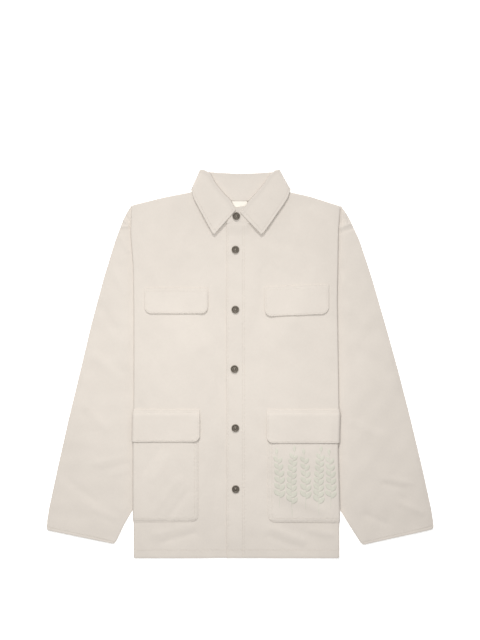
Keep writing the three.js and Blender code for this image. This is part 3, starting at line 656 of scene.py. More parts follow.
def sleeve_piece(side):
    length = sleeve_length(side)
    low = steps_with(0, length - CAP_HEIGHT, 3.6, CUFF_LINES)
    cap = np.linspace(length - CAP_HEIGHT, length, 60)[1:]
    climb = np.concatenate([low, cap])[:, None] / length
    share = np.linspace(0, 1, 104)[None, :] ** 1.6
    ends = [np.stack(sleeve_plan(side, np.float64(s), climb[:, 0])[:2], -1) for s in (0, 1)]
    inset = (SLEEVE_LAYERS / 2 + WALL / 2) / np.linalg.norm(ends[1] - ends[0], axis=-1)
    drawn = inset[:, None] + (1 - 2 * inset[:, None]) * share
    wide = np.linalg.norm(ends[1] - ends[0], axis=-1)[:, None]
    beside = np.minimum(share, 1 - share) * wide
    climb = climb + corner_rise(beside, climb * length, CUFF_CORNER) / length
    upper = sleeve_top(side, drawn, climb)
    lower = upper[:, ::-1].copy()
    lower[..., 2] = WALL / 2
    angle = np.radians(np.linspace(90, -90, 7)[1:-1])[None, :, None]

    def turn(start, back):
        """Half a circle from the upper layer down to the lower one, away from the sleeve."""
        centre = start.copy()
        radius = (start[:, 2] - WALL / 2) / 2
        centre[:, 2] -= radius
        away = start - back
        away[:, 2] = 0
        away = unit(away)[:, None]
        up = np.array([0, 0, 1.0])
        reach = np.minimum(radius, SLEEVE_LAYERS / 2)[:, None, None]
        swing = reach * np.cos(angle) * away + radius[:, None, None] * np.sin(angle) * up
        return centre[:, None] + swing

    inside = turn(upper[:, -1], upper[:, -2])
    fold = turn(upper[:, 0], upper[:, 1])[:, ::-1]
    grid = np.concatenate([upper, inside, lower, fold], 1)
    rise = np.repeat(climb[:, 20:21] * length, grid.shape[1], 1)
    seam = np.abs(rise - CUFF_LINES[0])
    if side == "left":
        grid, seam = grid[:, ::-1], seam[:, ::-1]
    return cloth_shell("jacket_sleeve_" + side, grid, WALL, seam, closed=True)


sleeves = {side: sleeve_piece(side) for side in ("right", "left")}

# %% [markdown]
# ## Collar
# A shirt collar is a stand sewn round the neck and a leaf sewn to the stand's top, which
# rolls over and lies on the shoulders, ending in two points. Both are bands ruled between two
# rails. The rails run from the wearer's right front end round behind the neck to the left
# end. The leaf gets a few more rows that carry its roll round and down to the stand.

# %% Rails of the stand and the leaf
STAND_SEAM = [
    (5.5, 291.8, 5.6), (-27, 291.8, 5.7), (-50, 300, 5.9), (-68, 316, 6), (-82, 338, 6),
    (-88, 353, 6), (-91, 361.5, 5.8), (-93.2, 364, 4.6), (-89, 361, 3.6), (-45, 341, 4.4),
    (0, 338.6, 4.4), (45, 341, 4.4), (92, 360.5, 3.6), (96.2, 363.5, 4.6), (94, 361, 5.8),
    (91, 353, 6), (85, 338, 6), (71, 316, 6), (53, 300, 6.3), (38, 295, 7), (24, 292, 7.6),
    (-26.5, 291.8, 7.9),
]
STAND_TOP = [
    (4, 322, 6.2), (-17, 327, 6.2), (-25, 339, 6.2), (-40.5, 354, 6.2), (-55, 371, 6.2),
    (-65, 391, 6.3), (-73.5, 396.5, 6.6), (-77.5, 398, 4.7), (-73.5, 396.5, 2.8), (-41, 394, 2.8),
    (0, 392, 2.8), (41, 393.5, 2.8), (72.5, 396, 2.8), (76.5, 397.6, 4.7), (72.5, 396, 6.6),
    (64.5, 389, 6.3), (51, 370, 6.2), (37, 353, 6.5), (19.5, 337, 7.6),
    (13, 327.6, 8.4), (2, 325, 8.5), (-23, 321, 8.5),
]
LEAF_ROLL = [
    (-9.5, 319.6, 10.7), (-21.5, 340.1, 10.4), (-37.5, 355.8, 10), (-52, 374, 9.8),
    (-62.5, 394, 9.5), (-74, 401, 9), (-80.8, 402, 7.4), (-83.2, 402, 4.8), (-81, 401.4, 2.1),
    (-74, 400.4, 0.8), (-41.6, 396.4, 0.8), (0, 394.4, 0.8), (41.2, 396, 0.8),
    (72.6, 400.2, 0.8), (79.6, 401.4, 2.1), (81.8, 402, 4.8), (79.4, 401.8, 7.4),
    (72.5, 400.4, 9), (61.5, 390.5, 9.5), (49, 371.2, 9.8), (34, 353, 10),
    (18.4, 337.2, 10.4), (12.6, 327, 10.6), (1.4, 314, 10.6),
]
LEAF_EDGE = [
    (-54.6, 268.9, 4.4), (-66, 289.5, 6.2), (-77.7, 311, 7), (-89, 332, 7.1), (-96.6, 347, 7.1),
    (-98.9, 357.5, 6.9), (-100.9, 361.2, 5.3), (-101.2, 362, 3.4), (-100.9, 360.8, 1.5),
    (-98.5, 356, 0.8), (-52, 333, 0.8), (1, 326, 0.8), (54, 333, 0.8), (101.3, 356, 0.8),
    (103.9, 360.6, 1.5), (104.2, 361.8, 3.4), (103.9, 361, 5.3), (101.8, 357.2, 6.9),
    (98.6, 346, 7.1), (89, 331, 7.1), (74, 310, 7), (59, 288, 6.6), (52, 278.5, 5.6),
    (45.1, 268.9, 4.6),
]


def rail(rows, per_step=12, passes=8):
    """Straight steps between the rows, then a few passes of a 1-2-1 mean, which rounds the
    corners without ever swinging past them."""
    rows = np.array(rows, float)
    fine = np.linspace(0, len(rows) - 1, (len(rows) - 1) * per_step + 1)
    line = np.stack([np.interp(fine, np.arange(len(rows)), rows[:, k]) for k in range(3)], 1)
    for _ in range(passes):
        line[1:-1] = 0.25 * line[:-2] + 0.5 * line[1:-1] + 0.25 * line[2:]
    return line


def ruled(lower, upper, share):
    return lower + (upper - lower) * share[:, None, None]


# %% The roll, shared by both pieces
def level_heading(start, end):
    """Unit vectors from one rail to the other, in plan."""
    heading = end - start
    heading[:, 2] = 0
    return unit(heading)


def nearest(rail_points, others):
    gap = np.linalg.norm(rail_points[:, None] - others[None], axis=-1)
    return others[gap.argmin(1)]


def roll_over(line, heading, drop):
    """Half a circle that starts below or above a rail and ends on it: radius drop / 2, going
    out along the heading. Rows run from the far end to the rail."""
    radius = (drop / 2)[:, None]
    reach = np.sqrt(radius**2 + 0.1)
    angle = np.radians(np.linspace(180, 0, 10)[:-1])[:, None, None]
    rows = line + reach * np.sin(angle) * heading
    rows[..., 2] += (radius * (np.cos(angle) - 1))[..., 0]
    return rows


# %% Stand
STAND_LINE = 3.0
# width of the band of painted shade along the collar's roll
ROLL_SHADE_WIDTH = 9.0


def stand_rails():
    """At the back of the neck the stand's top edge reaches 1.2 mm further out, where it turns
    over and down to the leaf, which lies below it there."""
    top, seam_rail = rail(STAND_TOP), rail(STAND_SEAM)
    drop = np.clip(top[:, 2] - nearest(top, rail(LEAF_ROLL))[:, 2], 0.05, None)
    top = top + level_heading(seam_rail, top) * (1.2 * ease(drop / 2))[:, None]
    return top, seam_rail, drop


def stand_piece():
    """Rows go from the top edge to the seam, so the faces that show point up."""
    top, seam_rail, drop = stand_rails()
    share = np.linspace(0, 1, 15)
    turn = roll_over(top, level_heading(seam_rail, top), drop)
    grid = np.concatenate([turn, ruled(top, seam_rail, share)])
    width = np.linalg.norm(top - seam_rail, axis=-1)
    rise = np.concatenate([np.full(len(turn), 1.0), 1 - share])[:, None]
    seam = np.abs(rise * width - STAND_LINE)
    # roll: painted shade, darker colour in a band below the stand's top edge where the leaf rolls over
    # it, weaker at the back where the stand stands above the leaf
    roll = np.exp(-(((1 - rise) * width / ROLL_SHADE_WIDTH) ** 2)) * (1 - 0.7 * ease(drop / 2))
    return cloth_shell("jacket_collar_stand", grid, COLLAR_WALL, seam, roll=roll)


stand = stand_piece()

# %% Leaf
LEAF_CROWN = 1.8
LEAF_LIFT = 2.8
LEAF_END_LIFT = 1.6
LEAF_LINE = 5.0


def leaf_sheet():
    """The leaf between its roll (share 0) and its free edge (share 1). Where it faces up it is
    crowned by a half sine wave and its edges stand off the front. The points are rounded."""
    roll, edge = rail(LEAF_ROLL), rail(LEAF_EDGE)
    share = np.concatenate([np.linspace(0, 0.8, 16), np.linspace(0.83, 1, 9)])
    grid = ruled(roll, edge, share)
    facing = np.clip(grid_normals(grid, False)[..., 2], 0, 1)
    wide = np.linalg.norm(edge - roll, axis=-1)
    lift = LEAF_CROWN * np.sin(np.pi * share) + LEAF_LIFT * share**3
    grid[..., 2] += lift[:, None] * facing
    along = np.linalg.norm(np.diff(edge, axis=0), axis=-1).cumsum()
    along = np.concatenate([[0], along])
    from_end = np.minimum(along, along[-1] - along)
    grid[..., 2] += LEAF_END_LIFT * share[:, None] * (1 - ease(from_end / 16)) * facing
    from_edge = (1 - share[:, None]) * wide
    near = np.clip(1 - from_end / 5.5, 0, 1) * np.clip(1 - from_edge / 5.5, 0, 1)
    inward = grid[12:13] - grid
    grid += unit(inward) * (2.4 * near)[..., None]
    seam = np.abs(np.minimum(from_edge, from_end[None] + 0 * from_edge) - LEAF_LINE)
    return grid, seam, roll, edge


def leaf_grid():
    """The leaf with its roll. At the front the roll turns in and down to the stand. At the
    back it is drawn in by 3 mm instead, so that the stand's turn covers its edge."""
    grid, seam, roll, edge = leaf_sheet()
    stand_top = nearest(roll, rail(STAND_TOP))
    rise = roll[:, 2] - stand_top[:, 2]
    inward = level_heading(edge, roll)
    turn = roll_over(roll, inward, np.clip(rise, 0.05, None))
    back = 0.6 * np.clip(rise, 0, None) / 2 + 3.2 * ease(-rise / 2)
    fade = np.concatenate([np.ones(len(turn)), np.linspace(1, 0, len(grid)) ** 2])
    whole = np.concatenate([turn, grid])
    whole -= inward * back[:, None] * fade[:, None, None]
    away = np.concatenate([np.full((len(turn), seam.shape[1]), 30.0), seam])
    return whole, away, edge, len(turn)


def leaf_piece():
    grid, seam, _, turned = leaf_grid()
    past = np.linalg.norm(grid - grid[turned], axis=-1)
    past[:turned] = 0
    # roll: painted shade, darker colour on the leaf's turn and just past it, where it rolls over to the
    # stand
    roll = np.exp(-((past / (0.6 * ROLL_SHADE_WIDTH)) ** 2))
    return cloth_shell("jacket_collar_leaf", grid, COLLAR_WALL, seam, roll=roll)


leaf = leaf_piece()

# %% [markdown]
# ## Pockets, flaps and the neck label
# These are patches that lie on a front and are sewn to it. Each takes the height of the front
# below it and adds its own gap, so no fold of the front can come through. The free edge of a
# flap is not pressed: it stands a little off the pocket, and that is what throws the thin
# dark line under each flap in the photograph.

# %% Pattern of the patches
CHEST_FLAPS = {
    "right": dict(outer=-197.1, inner=-67.3, top=158.4, bottom=105.6, round=13.5, slant=0.0),
    "left": dict(outer=182.8, inner=52.0, top=160.5, bottom=99.6, round=13.5, slant=5.5),
}
POCKET_FLAPS = {
    "right": dict(inner=-84.2, top=-93.1, bottom=-159.2, round=12.5, turn=34.0),
    "left": dict(inner=56.3, top=-93.1, bottom=-161.6, round=12.0, turn=20.0),
}
POCKETS = {
    "right": dict(inner=-85.9, top=-106.0, bottom=-325.5, round=16.5, turn=6.0, pressed=0.42),
    "left": dict(inner=57.8, top=-106.0, bottom=-326.6, round=16.5, turn=6.0, pressed=0.8),
}
SEWN_GAP = 0.1
FLAP_LIFT = 1.0
END_LIFT = 1.8


def corner_inset(piece, y):
    """How far an end is drawn in beside a round lower corner: a quarter of a circle."""
    up = np.clip((y - piece["bottom"]) / piece["round"], 0, 1)
    return piece["round"] * (1 - np.sqrt(1 - (1 - up) ** 2))


def patch_rows(piece, step=3.0):
    turn = np.radians(np.linspace(0, 90, 9))
    corner = piece["bottom"] + piece["round"] * (1 - np.cos(turn))
    return np.concatenate([corner, np.linspace(corner[-1], piece["top"], 2 + int(
        (piece["top"] - corner[-1]) / step))[1:]])


def flap_lift(piece, x, y):
    """Nothing at the sewn top edge, growing with the square of the way down. The free end
    towards the centre stands off more, from near its top."""
    down = np.clip((piece["top"] - y) / (piece["top"] - piece["bottom"]), 0, 1.1)
    free = 1 - ease(np.abs(x - piece["inner"]) / 26)
    return FLAP_LIFT * down**2 + END_LIFT * ease(down / 0.35) * (0.6 + 0.4 * down) * free


def pressed_gap(inwards):
    """The gap under a patch: next to nothing at a sewn edge, full 7 mm in from it."""
    return SEWN_GAP + (PATCH_GAP - SEWN_GAP) * ease(inwards / 7)


def pocket_inwards(side, x, y):
    piece = POCKETS[side]
    return np.minimum(y - piece["bottom"], np.abs(x - piece["inner"]))


def pocket_gap(side, x, y):
    return pressed_gap(pocket_inwards(side, x, y))


def patch_wall(name, side, x, y):
    """A pocket is pressed thin at its sewn edges, to the share in its row; flaps aren't."""
    if name != "pocket":
        return FLAP_WALL
    pressed = POCKETS[side]["pressed"]
    return WALL * (pressed + (1 - pressed) * ease(pocket_inwards(side, x, y) / 7))


def pocket_flap_gap(side, x, y):
    """Under a pocket's flap lies the pocket, up to its mouth."""
    piece = POCKET_FLAPS[side]
    above = ease((y - POCKETS[side]["top"] - 1) / 9)
    over = WALL + LAYER_GAP
    return over * (1 - above) + pressed_gap(piece["top"] - y) + flap_lift(piece, x, y)


def chest_flap_gap(side, x, y):
    piece = CHEST_FLAPS[side]
    return pressed_gap(piece["top"] - y) + flap_lift(piece, x, y)


def patch_height(side, x, y, gap, wall):
    return front_cloth(side, x, y) + WALL / 2 + gap + wall / 2


# %% [markdown]
# ### Lines of sewing
# A line of topstitching is a path in plan. The same paths give each sheet the distance to its
# nearest seam, which the finish uses for its puckers, and later carry the thread itself.

# %% Paths of the topstitching on the patches
def patch_outline(side, piece, inset, chest):
    """Down the inner end, round its corner and along the bottom to the side crease, or on a
    chest flap round the second corner and up its outer end."""
    radius = max(piece["round"] - inset, 1.0)
    low = piece["bottom"] + inset
    y = np.concatenate([
        np.linspace(piece["top"] - 1.5, low + radius, 40)[:-1],
        low + radius * (1 - np.sin(np.radians(np.linspace(0, 90, 12)))),
    ])
    drawn = np.where(y < low + radius, 1.0, 0.0) * radius * (
        1 - np.sqrt(np.clip(1 - ((low + radius - y) / radius) ** 2, 0, 1)))
    inner = piece["inner"] + SIGN[side] * (inset + drawn)
    if not chest:
        end = crease_x(side, np.float64(low)) - SIGN[side] * (CREASE_INSET - 1.0)
        bottom = np.linspace(inner[-1], end, 60)[1:]
        x, y = np.concatenate([inner, bottom]), np.concatenate([y, np.full(59, low)])
    else:
        outer = piece["outer"] - SIGN[side] * (inset + drawn)
        bottom = np.linspace(inner[-1], outer[-1], 60)[1:-1]
        x = np.concatenate([inner, bottom, outer[::-1]])
        y = np.concatenate([y, np.full(58, low), y[::-1]])
    return slanted(side, piece, x, y)


def slanted(side, piece, x, y):
    slant = piece.get("slant", 0.0)
    if slant:
        y = y + slant * (x - piece["inner"]) / (piece["outer"] - piece["inner"])
    return np.stack([x, y], 1)


def top_lines(side, piece, drops, chest):
    """Straight lines a few millimetres below a sewn top edge."""
    if chest:
        ends = (piece["inner"] + SIGN[side] * 2, piece["outer"] - SIGN[side] * 2)
    else:
        crease = crease_x(side, np.float64(piece["top"]))
        ends = (piece["inner"] + SIGN[side] * 2, crease - SIGN[side] * (CREASE_INSET - 1))
    x = np.linspace(*ends, 60)
    return [slanted(side, piece, x, np.full(60, piece["top"] - drop)) for drop in drops]


PATCH_SEWING = {"chest_flap": (2.2,), "pocket": (2.0, 8.0), "pocket_flap": (2.2,)}
TOP_SEWING = {"chest_flap": (1.6, 6.3), "pocket": (), "pocket_flap": (1.2, 6.3)}
patch_seams = {}
for side in ("right", "left"):
    for kind, pieces in (("chest_flap", CHEST_FLAPS), ("pocket", POCKETS),
                         ("pocket_flap", POCKET_FLAPS)):
        chest = kind == "chest_flap"
        lines = [patch_outline(side, pieces[side], d, chest) for d in PATCH_SEWING[kind]]
        lines += top_lines(side, pieces[side], TOP_SEWING[kind], chest)
        patch_seams[kind, side] = lines
print("lines of sewing on the patches:", sum(len(v) for v in patch_seams.values()))


# %% Chest flaps
def chest_flap_piece(side):
    piece = CHEST_FLAPS[side]
    y = patch_rows(piece, 2.6)[:, None]
    inset = corner_inset(piece, y)
    share = steps_with(0, 1, 0.02)[None, :]
    start = piece["inner"] + SIGN[side] * inset
    end = piece["outer"] - SIGN[side] * inset
    x = start + (end - start) * share
    across = (x - piece["inner"]) / (piece["outer"] - piece["inner"])
    gap = chest_flap_gap(side, x, y)
    y = y + piece["slant"] * across
    grid = np.stack([x, y, patch_height(side, x, y, gap, FLAP_WALL)], -1)
    if side == "right":
        grid = grid[:, ::-1]
    seam = path_distance(patch_seams["chest_flap", side], grid[..., 0], grid[..., 1])
    return cloth_shell("jacket_chest_flap_" + side, grid, FLAP_WALL, seam)


# %% Pockets and pocket flaps, which turn over the side crease a little
def side_patch(name, side, piece, gap_of):
    y = patch_rows(piece, 3.0)[:, None]
    angle = np.radians(np.linspace(piece["turn"], 90, 6)[:-1])[None, :]
    centre_x = crease_x(side, y) - SIGN[side] * CREASE_INSET
    wall = patch_wall(name, side, centre_x, y)
    radius = FRONT_TURN + WALL / 2 + gap_of(side, centre_x, y) + wall / 2
    centre_z = front_cloth(side, centre_x, y) - FRONT_TURN
    x = centre_x + SIGN[side] * radius * np.cos(angle)
    turned = np.stack([x, y + 0 * x, centre_z + radius * np.sin(angle)], -1)
    end = abs(piece["inner"] - crease_x(side, np.float64(HEM_Y))) - CREASE_INSET
    reach = end - corner_inset(piece, y)
    x = column_x(side, reach * steps_with(0, 1, 0.02)[None, :], y)
    height = patch_height(side, x, y, gap_of(side, x, y), patch_wall(name, side, x, y))
    flat = np.stack([x, y + 0 * x, height], -1)
    grid = np.concatenate([turned, flat], 1)
    if side == "left":
        grid = grid[:, ::-1]
    wall = patch_wall(name, side, grid[..., 0], grid[..., 1])
    seam = path_distance(patch_seams[name, side], grid[..., 0], grid[..., 1])
    return cloth_shell(f"jacket_{name}_{side}", grid, wall, seam)


patches = {}
for side in ("right", "left"):
    patches["chest_flap", side] = chest_flap_piece(side)
    patches["pocket", side] = side_patch("pocket", side, POCKETS[side], pocket_gap)
    patches["pocket_flap", side] = side_patch(
        "pocket_flap", side, POCKET_FLAPS[side], pocket_flap_gap)

# %% Neck label: a blank woven tab that lies on the back, below the stand
LABEL_X, LABEL_WIDE, LABEL_TOP, LABEL_HIGH = -2.2, 33.0, 337.6, 24.0


def label_piece():
    x, y = np.meshgrid(
        LABEL_X + LABEL_WIDE * np.linspace(-0.5, 0.5, 24),
        LABEL_TOP - LABEL_HIGH * np.linspace(1, 0, 18),
    )
    z = collar_lift(x, y) + WALL + LAYER_GAP + LABEL_WALL / 2 + 0.15 * np.cos((x - LABEL_X) / 6)
    seam = np.abs(LABEL_WIDE / 2 - 2 - np.abs(x - LABEL_X))
    return cloth_shell("jacket_neck_label", np.stack([x, y, z], -1), LABEL_WALL, seam)


label = label_piece()

# %% [markdown]
# ## Thread
# Topstitching is what makes a work jacket: pairs of lines of short, fat stitches. Each stitch
# is one tiny bar that dips into the cloth at both ends. One template bar is worked out, then
# all bars of a line are placed at once with arrays. At this size a bar needs few faces.

# %% Stitches
STITCH_PITCH, STITCH_LONG, STITCH_THICK = 3.4, 2.7, 0.46
BAR_ALONG = np.array([-0.5, -0.3, 0.3, 0.5])
BAR_ROUND = np.array([0.35, 1.0, 1.0, 0.35])
BAR_UP = np.array([-0.10, 0.12, 0.12, -0.10])


def stitch_bars(path, normal):
    """Bars along one path: at even lengths along it, each bar is rings of four points at
    along * direction + thickness * (cos, sin) in the plane across it."""
    length = np.concatenate([[0], np.linalg.norm(np.diff(path, axis=0), axis=1).cumsum()])
    at = np.arange(STITCH_PITCH / 2, length[-1], STITCH_PITCH)
    ahead, behind = at + 0.4, at - 0.4

    def on(where, rows):
        return np.stack([np.interp(where, length, rows[:, k]) for k in range(3)], 1)

    centre, up = on(at, path), unit(on(at, normal))
    along = unit(on(ahead, path) - on(behind, path))
    across = np.cross(up, along)
    angle = np.radians([45, 135, 225, 315])
    ring_across = BAR_ROUND[:, None] * np.cos(angle) * STITCH_THICK / 2
    ring_up = BAR_ROUND[:, None] * np.sin(angle) * STITCH_THICK / 2 + BAR_UP[:, None]
    ring_along = np.repeat(BAR_ALONG[:, None] * STITCH_LONG, 4, 1)
    parts = [
        ring_along.ravel()[None, :, None] * along[:, None],
        ring_across.ravel()[None, :, None] * across[:, None],
        ring_up.ravel()[None, :, None] * up[:, None],
    ]
    return centre[:, None] + sum(parts)


def bar_quads():
    ring = np.arange(4)
    a, b = ring, (ring + 1) % 4
    sides = [np.stack([a + 4 * k, b + 4 * k, b + 4 * k + 4, a + 4 * k + 4], 1) for k in range(3)]
    return np.concatenate(sides + [np.array([[3, 2, 1, 0], [12, 13, 14, 15]])])


def thread_piece(name, runs):
    """All bars of several paths as one piece."""
    bars = np.concatenate([stitch_bars(path, normal) for path, normal in runs])
    quads = (np.arange(len(bars))[:, None, None] * 16 + bar_quads()[None]).reshape(-1, 4)
    corner_uv = np.tile(np.array([[0, 0], [1, 0], [1, 1], [0, 1.0]]), (len(quads), 1, 1))
    piece = new_object(name, bars.reshape(-1, 3), quads, corner_uv)
    print(f"{name}: {len(bars)} stitches")
    return piece


def laid_run(x, y, z):
    """A path on a sheet that lies flat, with the normals of a level surface."""
    path = np.stack(np.broadcast_arrays(x, y, z), 1).astype(float)
    return path, np.tile([0.0, 0.0, 1.0], (len(path), 1))


# %% Thread on the body
def body_runs(side):
    runs = []
    edge = PLACKET_EDGE_X if side == "left" else PLACKET_EDGE_X - 1.5
    x = np.linspace(crease_x(side, np.float64(HEM_LINE_Y)) - SIGN[side] * 5, edge, 260)
    y = np.full(260, HEM_LINE_Y)
    runs.append(laid_run(x, y, front_cloth(side, x, y) + WALL / 2))
    if side == "left":
        y = np.linspace(HEM_Y + 2, 289, 500)
        for line in PLACKET_LINES:
            x = np.full(500, line)
            runs.append(laid_run(x, y, front_cloth(side, x, y) + WALL / 2))
    return runs


def patch_runs(kind, side, gap_of):
    runs = []
    for line in patch_seams[kind, side]:
        x, y = line.T
        wall = patch_wall(kind, side, x, y)
        gap = gap_of(side, x, y)
        runs.append(laid_run(x, y, patch_height(side, x, y, gap, wall) + wall / 2))
    return runs


threads = {}
for side in ("right", "left"):
    threads["front_" + side] = thread_piece("thread_front_" + side, body_runs(side))
    for kind, gap_of in (("chest_flap", chest_flap_gap), ("pocket", pocket_gap),
                         ("pocket_flap", pocket_flap_gap)):
        if kind == "pocket":
            for line in patch_seams[kind, side]:
                keep = line[:, 1] < POCKET_FLAPS[side]["bottom"] + 6
                line[~keep, 1] = POCKET_FLAPS[side]["bottom"] + 6
        threads[f"{kind}_{side}"] = thread_piece(
            f"thread_{kind}_{side}", patch_runs(kind, side, gap_of))

# %% Thread on the collar and round the cuffs
def grid_run(grid, normal, wall, rows, cols):
    """A path through a grid at fractional rows and columns, by reading between its points."""
    def read(values):
        j0 = np.clip(np.floor(rows).astype(int), 0, values.shape[0] - 2)
        i0 = np.clip(np.floor(cols).astype(int), 0, values.shape[1] - 2)
        fj, fi = (rows - j0)[:, None], (cols - i0)[:, None]
        low = values[j0, i0] * (1 - fi) + values[j0, i0 + 1] * fi
        high = values[j0 + 1, i0] * (1 - fi) + values[j0 + 1, i0 + 1] * fi
        return low * (1 - fj) + high * fj
    up = unit(read(normal))
    path = read(grid) + up * wall / 2
    path[:, 2] = np.maximum(path[:, 2], STITCH_THICK)
    return path, up


def leaf_runs():
    """Five millimetres inside the free edge and the two front edges of the leaf."""
    grid, _, edge, turn_rows = leaf_grid()
    normal = grid_normals(grid, False)[turn_rows:]
    grid = grid[turn_rows:]
    last_row, last_col = grid.shape[0] - 1, grid.shape[1] - 1
    from_edge = np.linalg.norm(grid - grid[-1:], axis=-1)
    rows = np.array([np.interp(-LEAF_LINE, -from_edge[:, i], np.arange(last_row + 1))
                     for i in range(last_col + 1)])
    along = np.concatenate([[0], np.linalg.norm(np.diff(edge, axis=0), axis=-1).cumsum()])
    first = np.interp(LEAF_LINE, along, np.arange(last_col + 1))
    last = np.interp(along[-1] - LEAF_LINE, along, np.arange(last_col + 1))
    cols = np.linspace(first, last, 900)
    runs = [grid_run(grid, normal, COLLAR_WALL, np.interp(cols, np.arange(last_col + 1), rows), cols)]
    for col in (first, last):
        down = np.linspace(1.0, np.interp(col, np.arange(last_col + 1), rows), 80)
        runs.append(grid_run(grid, normal, COLLAR_WALL, down, np.full(80, col)))
    return runs


def cuff_runs(side):
    """Across the upper layer of a sleeve, at even heights over the cuff."""
    length = sleeve_length(side)
    runs = []
    for line in CUFF_LINES:
        share = np.linspace(0.02, 0.98, 200)
        path = sleeve_top(side, share, np.full(200, line / length))
        path[:, 2] += WALL / 2
        runs.append((path, np.tile([0.0, 0.0, 1.0], (200, 1))))
    return runs


threads["collar"] = thread_piece("thread_collar", leaf_runs())
for side in ("right", "left"):
    threads["cuff_" + side] = thread_piece("thread_cuff_" + side, cuff_runs(side))

# %% [markdown]
# ## Buttons
# Work jackets often have stamped metal buttons: a cap with a rolled rim, a sunk ring and a
# raised boss. A cap is a profile turned round its own axis. The solid has 14 sides; the piece
# that stands for it has 56, and a finer profile between the same corners.

# %% Turned metal buttons
BUTTONS = [
    (-7.9, 306.8), (-9.7, 237.6), (-9.9, 113.6), (-11.6, -9.3), (-9.9, -131.4), (-9.2, -257.7),
]
# Rows of radius and height, as shares of the button's, and wear_and_highlight: lighter metal from wear
# on the rim and the boss, and painted highlight at the bottom of the sunk ring
BUTTON_PROFILE = [
    (0, 0, 0.2), (0.84, 0, 0.2), (0.95, 0.08, 0.4), (1.0, 0.3, 0.8), (1.0, 0.62, 1.0),
    (0.96, 0.88, 1.0), (0.88, 1.0, 1.0), (0.79, 0.98, 0.7), (0.73, 0.88, 0.35), (0.67, 0.72, 0.1),
    (0.58, 0.64, 0.45), (0.46, 0.66, 0.55), (0.38, 0.68, 0.15), (0.33, 0.74, 0.1),
    (0.29, 0.86, 0.7), (0.2, 0.93, 0.9), (0.1, 0.95, 0.8), (0, 0.955, 0.8),
]
BUTTON_SIDES = 56


def button_piece(number, x, y):
    """Rows are the profile's (radius, height), columns the turn, from 0 to the full circle.
    "wear_and_highlight" says how much lighter the metal is: from wear on the rim and the boss, and a
    painted highlight at the bottom of the sunk ring."""
    low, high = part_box(f"button_{number}")
    radius, tall = (high[1] - low[1]) / 2 / MM, (high[2] - low[2]) / MM
    lift = float(front_relief("left", np.array(x), np.array(y))) if number > 1 else 0.0
    fine = np.linspace(0, len(BUTTON_PROFILE) - 1, 2 * len(BUTTON_PROFILE) - 1)
    r, z, wear_and_highlight = (np.interp(fine, np.arange(len(BUTTON_PROFILE)), column)
                  for column in np.array(BUTTON_PROFILE).T)
    turn = 2 * np.pi * np.arange(BUTTON_SIDES) / BUTTON_SIDES
    grid = np.stack([
        x + radius * r[:, None] * np.cos(turn),
        y + radius * r[:, None] * np.sin(turn),
        low[2] / MM + lift + tall * z[:, None] + 0 * turn,
    ], -1)
    rows, cols = grid.shape[:2]
    j, i = np.meshgrid(np.arange(rows - 1), np.arange(cols), indexing="ij")
    a, b = (j * cols + i).ravel(), (j * cols + (i + 1) % cols).ravel()
    quads = np.stack([a, b, b + cols, a + cols], 1)
    piece = new_object(f"jacket_button_{number}", grid.reshape(-1, 3), quads, None,
                       {"wear_and_highlight": np.repeat(wear_and_highlight, cols)})
    shape = bmesh.new()
    shape.from_mesh(piece.data)
    bmesh.ops.remove_doubles(shape, verts=shape.verts, dist=1e-6)
    shape.to_mesh(piece.data)
    shape.free()
    return piece


buttons = [button_piece(n + 1, x, y) for n, (x, y) in enumerate(BUTTONS)]
print("buttons:", len(buttons), "of", len(buttons[0].data.polygons), "faces")

# %% [markdown]
# ## A sprig design on one pocket
# One lower pocket carries a pale embroidered design. Here it is a plain design of the lesson's
# own: a few upright sprigs with paired leaves. A leaf of satin stitch is a low dome with a
# pointed plan, so its grid is the half width times sin^0.8 along it, and its height the
# product of two arches.

# %% Leaves and stems
SPRIGS = np.array(
    [
        (81, -297, 93, 118, 6, 4), (108, -314, 88, 142, 8, -4), (135, -299, 92, 120, 6, 3),
        (163, -313, 88, 140, 8, -3), (187, -298, 92, 118, 6, 3),
    ],
    [(k, float) for k in ("x", "y", "heading", "long", "pairs", "bow")],
)
SPRIG_RISE = 0.1
LEAF_SIZE = 20


def on_pocket(x, y):
    wall = patch_wall("pocket", "left", x, y)
    return patch_height("left", x, y, pocket_gap("left", x, y), wall) + wall / 2


def sprig_stem(sprig, t):
    """A gentle arc: the straight heading plus a bow, half a sine wave along it."""
    heading = np.radians(sprig["heading"])
    bow = sprig["bow"] * np.sin(np.pi * t)
    x = sprig["x"] + sprig["long"] * t * np.cos(heading) + bow * np.sin(heading)
    y = sprig["y"] + sprig["long"] * t * np.sin(heading) - bow * np.cos(heading)
    return x, y


def leaf_table():
    """Start, heading, length and half width of every leaf: two a pair, smaller upwards, and
    one at each tip."""
    rows = []
    for sprig in SPRIGS:
        pairs = int(sprig["pairs"])
        for k in range(pairs):
            t = 0.18 + 0.72 * k / pairs
            size = LEAF_SIZE * (1 - 0.3 * t)
            for hand in (-1, 1):
                late = 0.03 if hand > 0 else 0.0
                x, y = sprig_stem(sprig, t + late)
                rows.append((x, y, sprig["heading"] + hand * (40 - 8 * t), size, size * 0.26))
        x, y = sprig_stem(sprig, 0.94)
        rows.append((x, y, sprig["heading"], 0.7 * LEAF_SIZE, 0.16 * LEAF_SIZE))
    return np.array(rows)


def dome_grid(leaves, along=9, across=7):
    """All leaves at once: an array of leaves x along x across x 3, upper side only."""
    u, w = np.linspace(0, 1, along)[None, :, None], np.linspace(-1, 1, across)[None, None, :]
    x0, y0, heading, size, half = (leaves[:, k][:, None, None] for k in range(5))
    turn = np.radians(heading)
    reach, side_step = size * u + 0 * w, half * np.sin(np.pi * u) ** 0.8 * w
    x = x0 + reach * np.cos(turn) - side_step * np.sin(turn)
    y = y0 + reach * np.sin(turn) + side_step * np.cos(turn)
    arch = np.sqrt(np.clip(1 - w**2, 0, 1)) * np.sin(np.pi * u) ** 0.5
    return x, y, arch


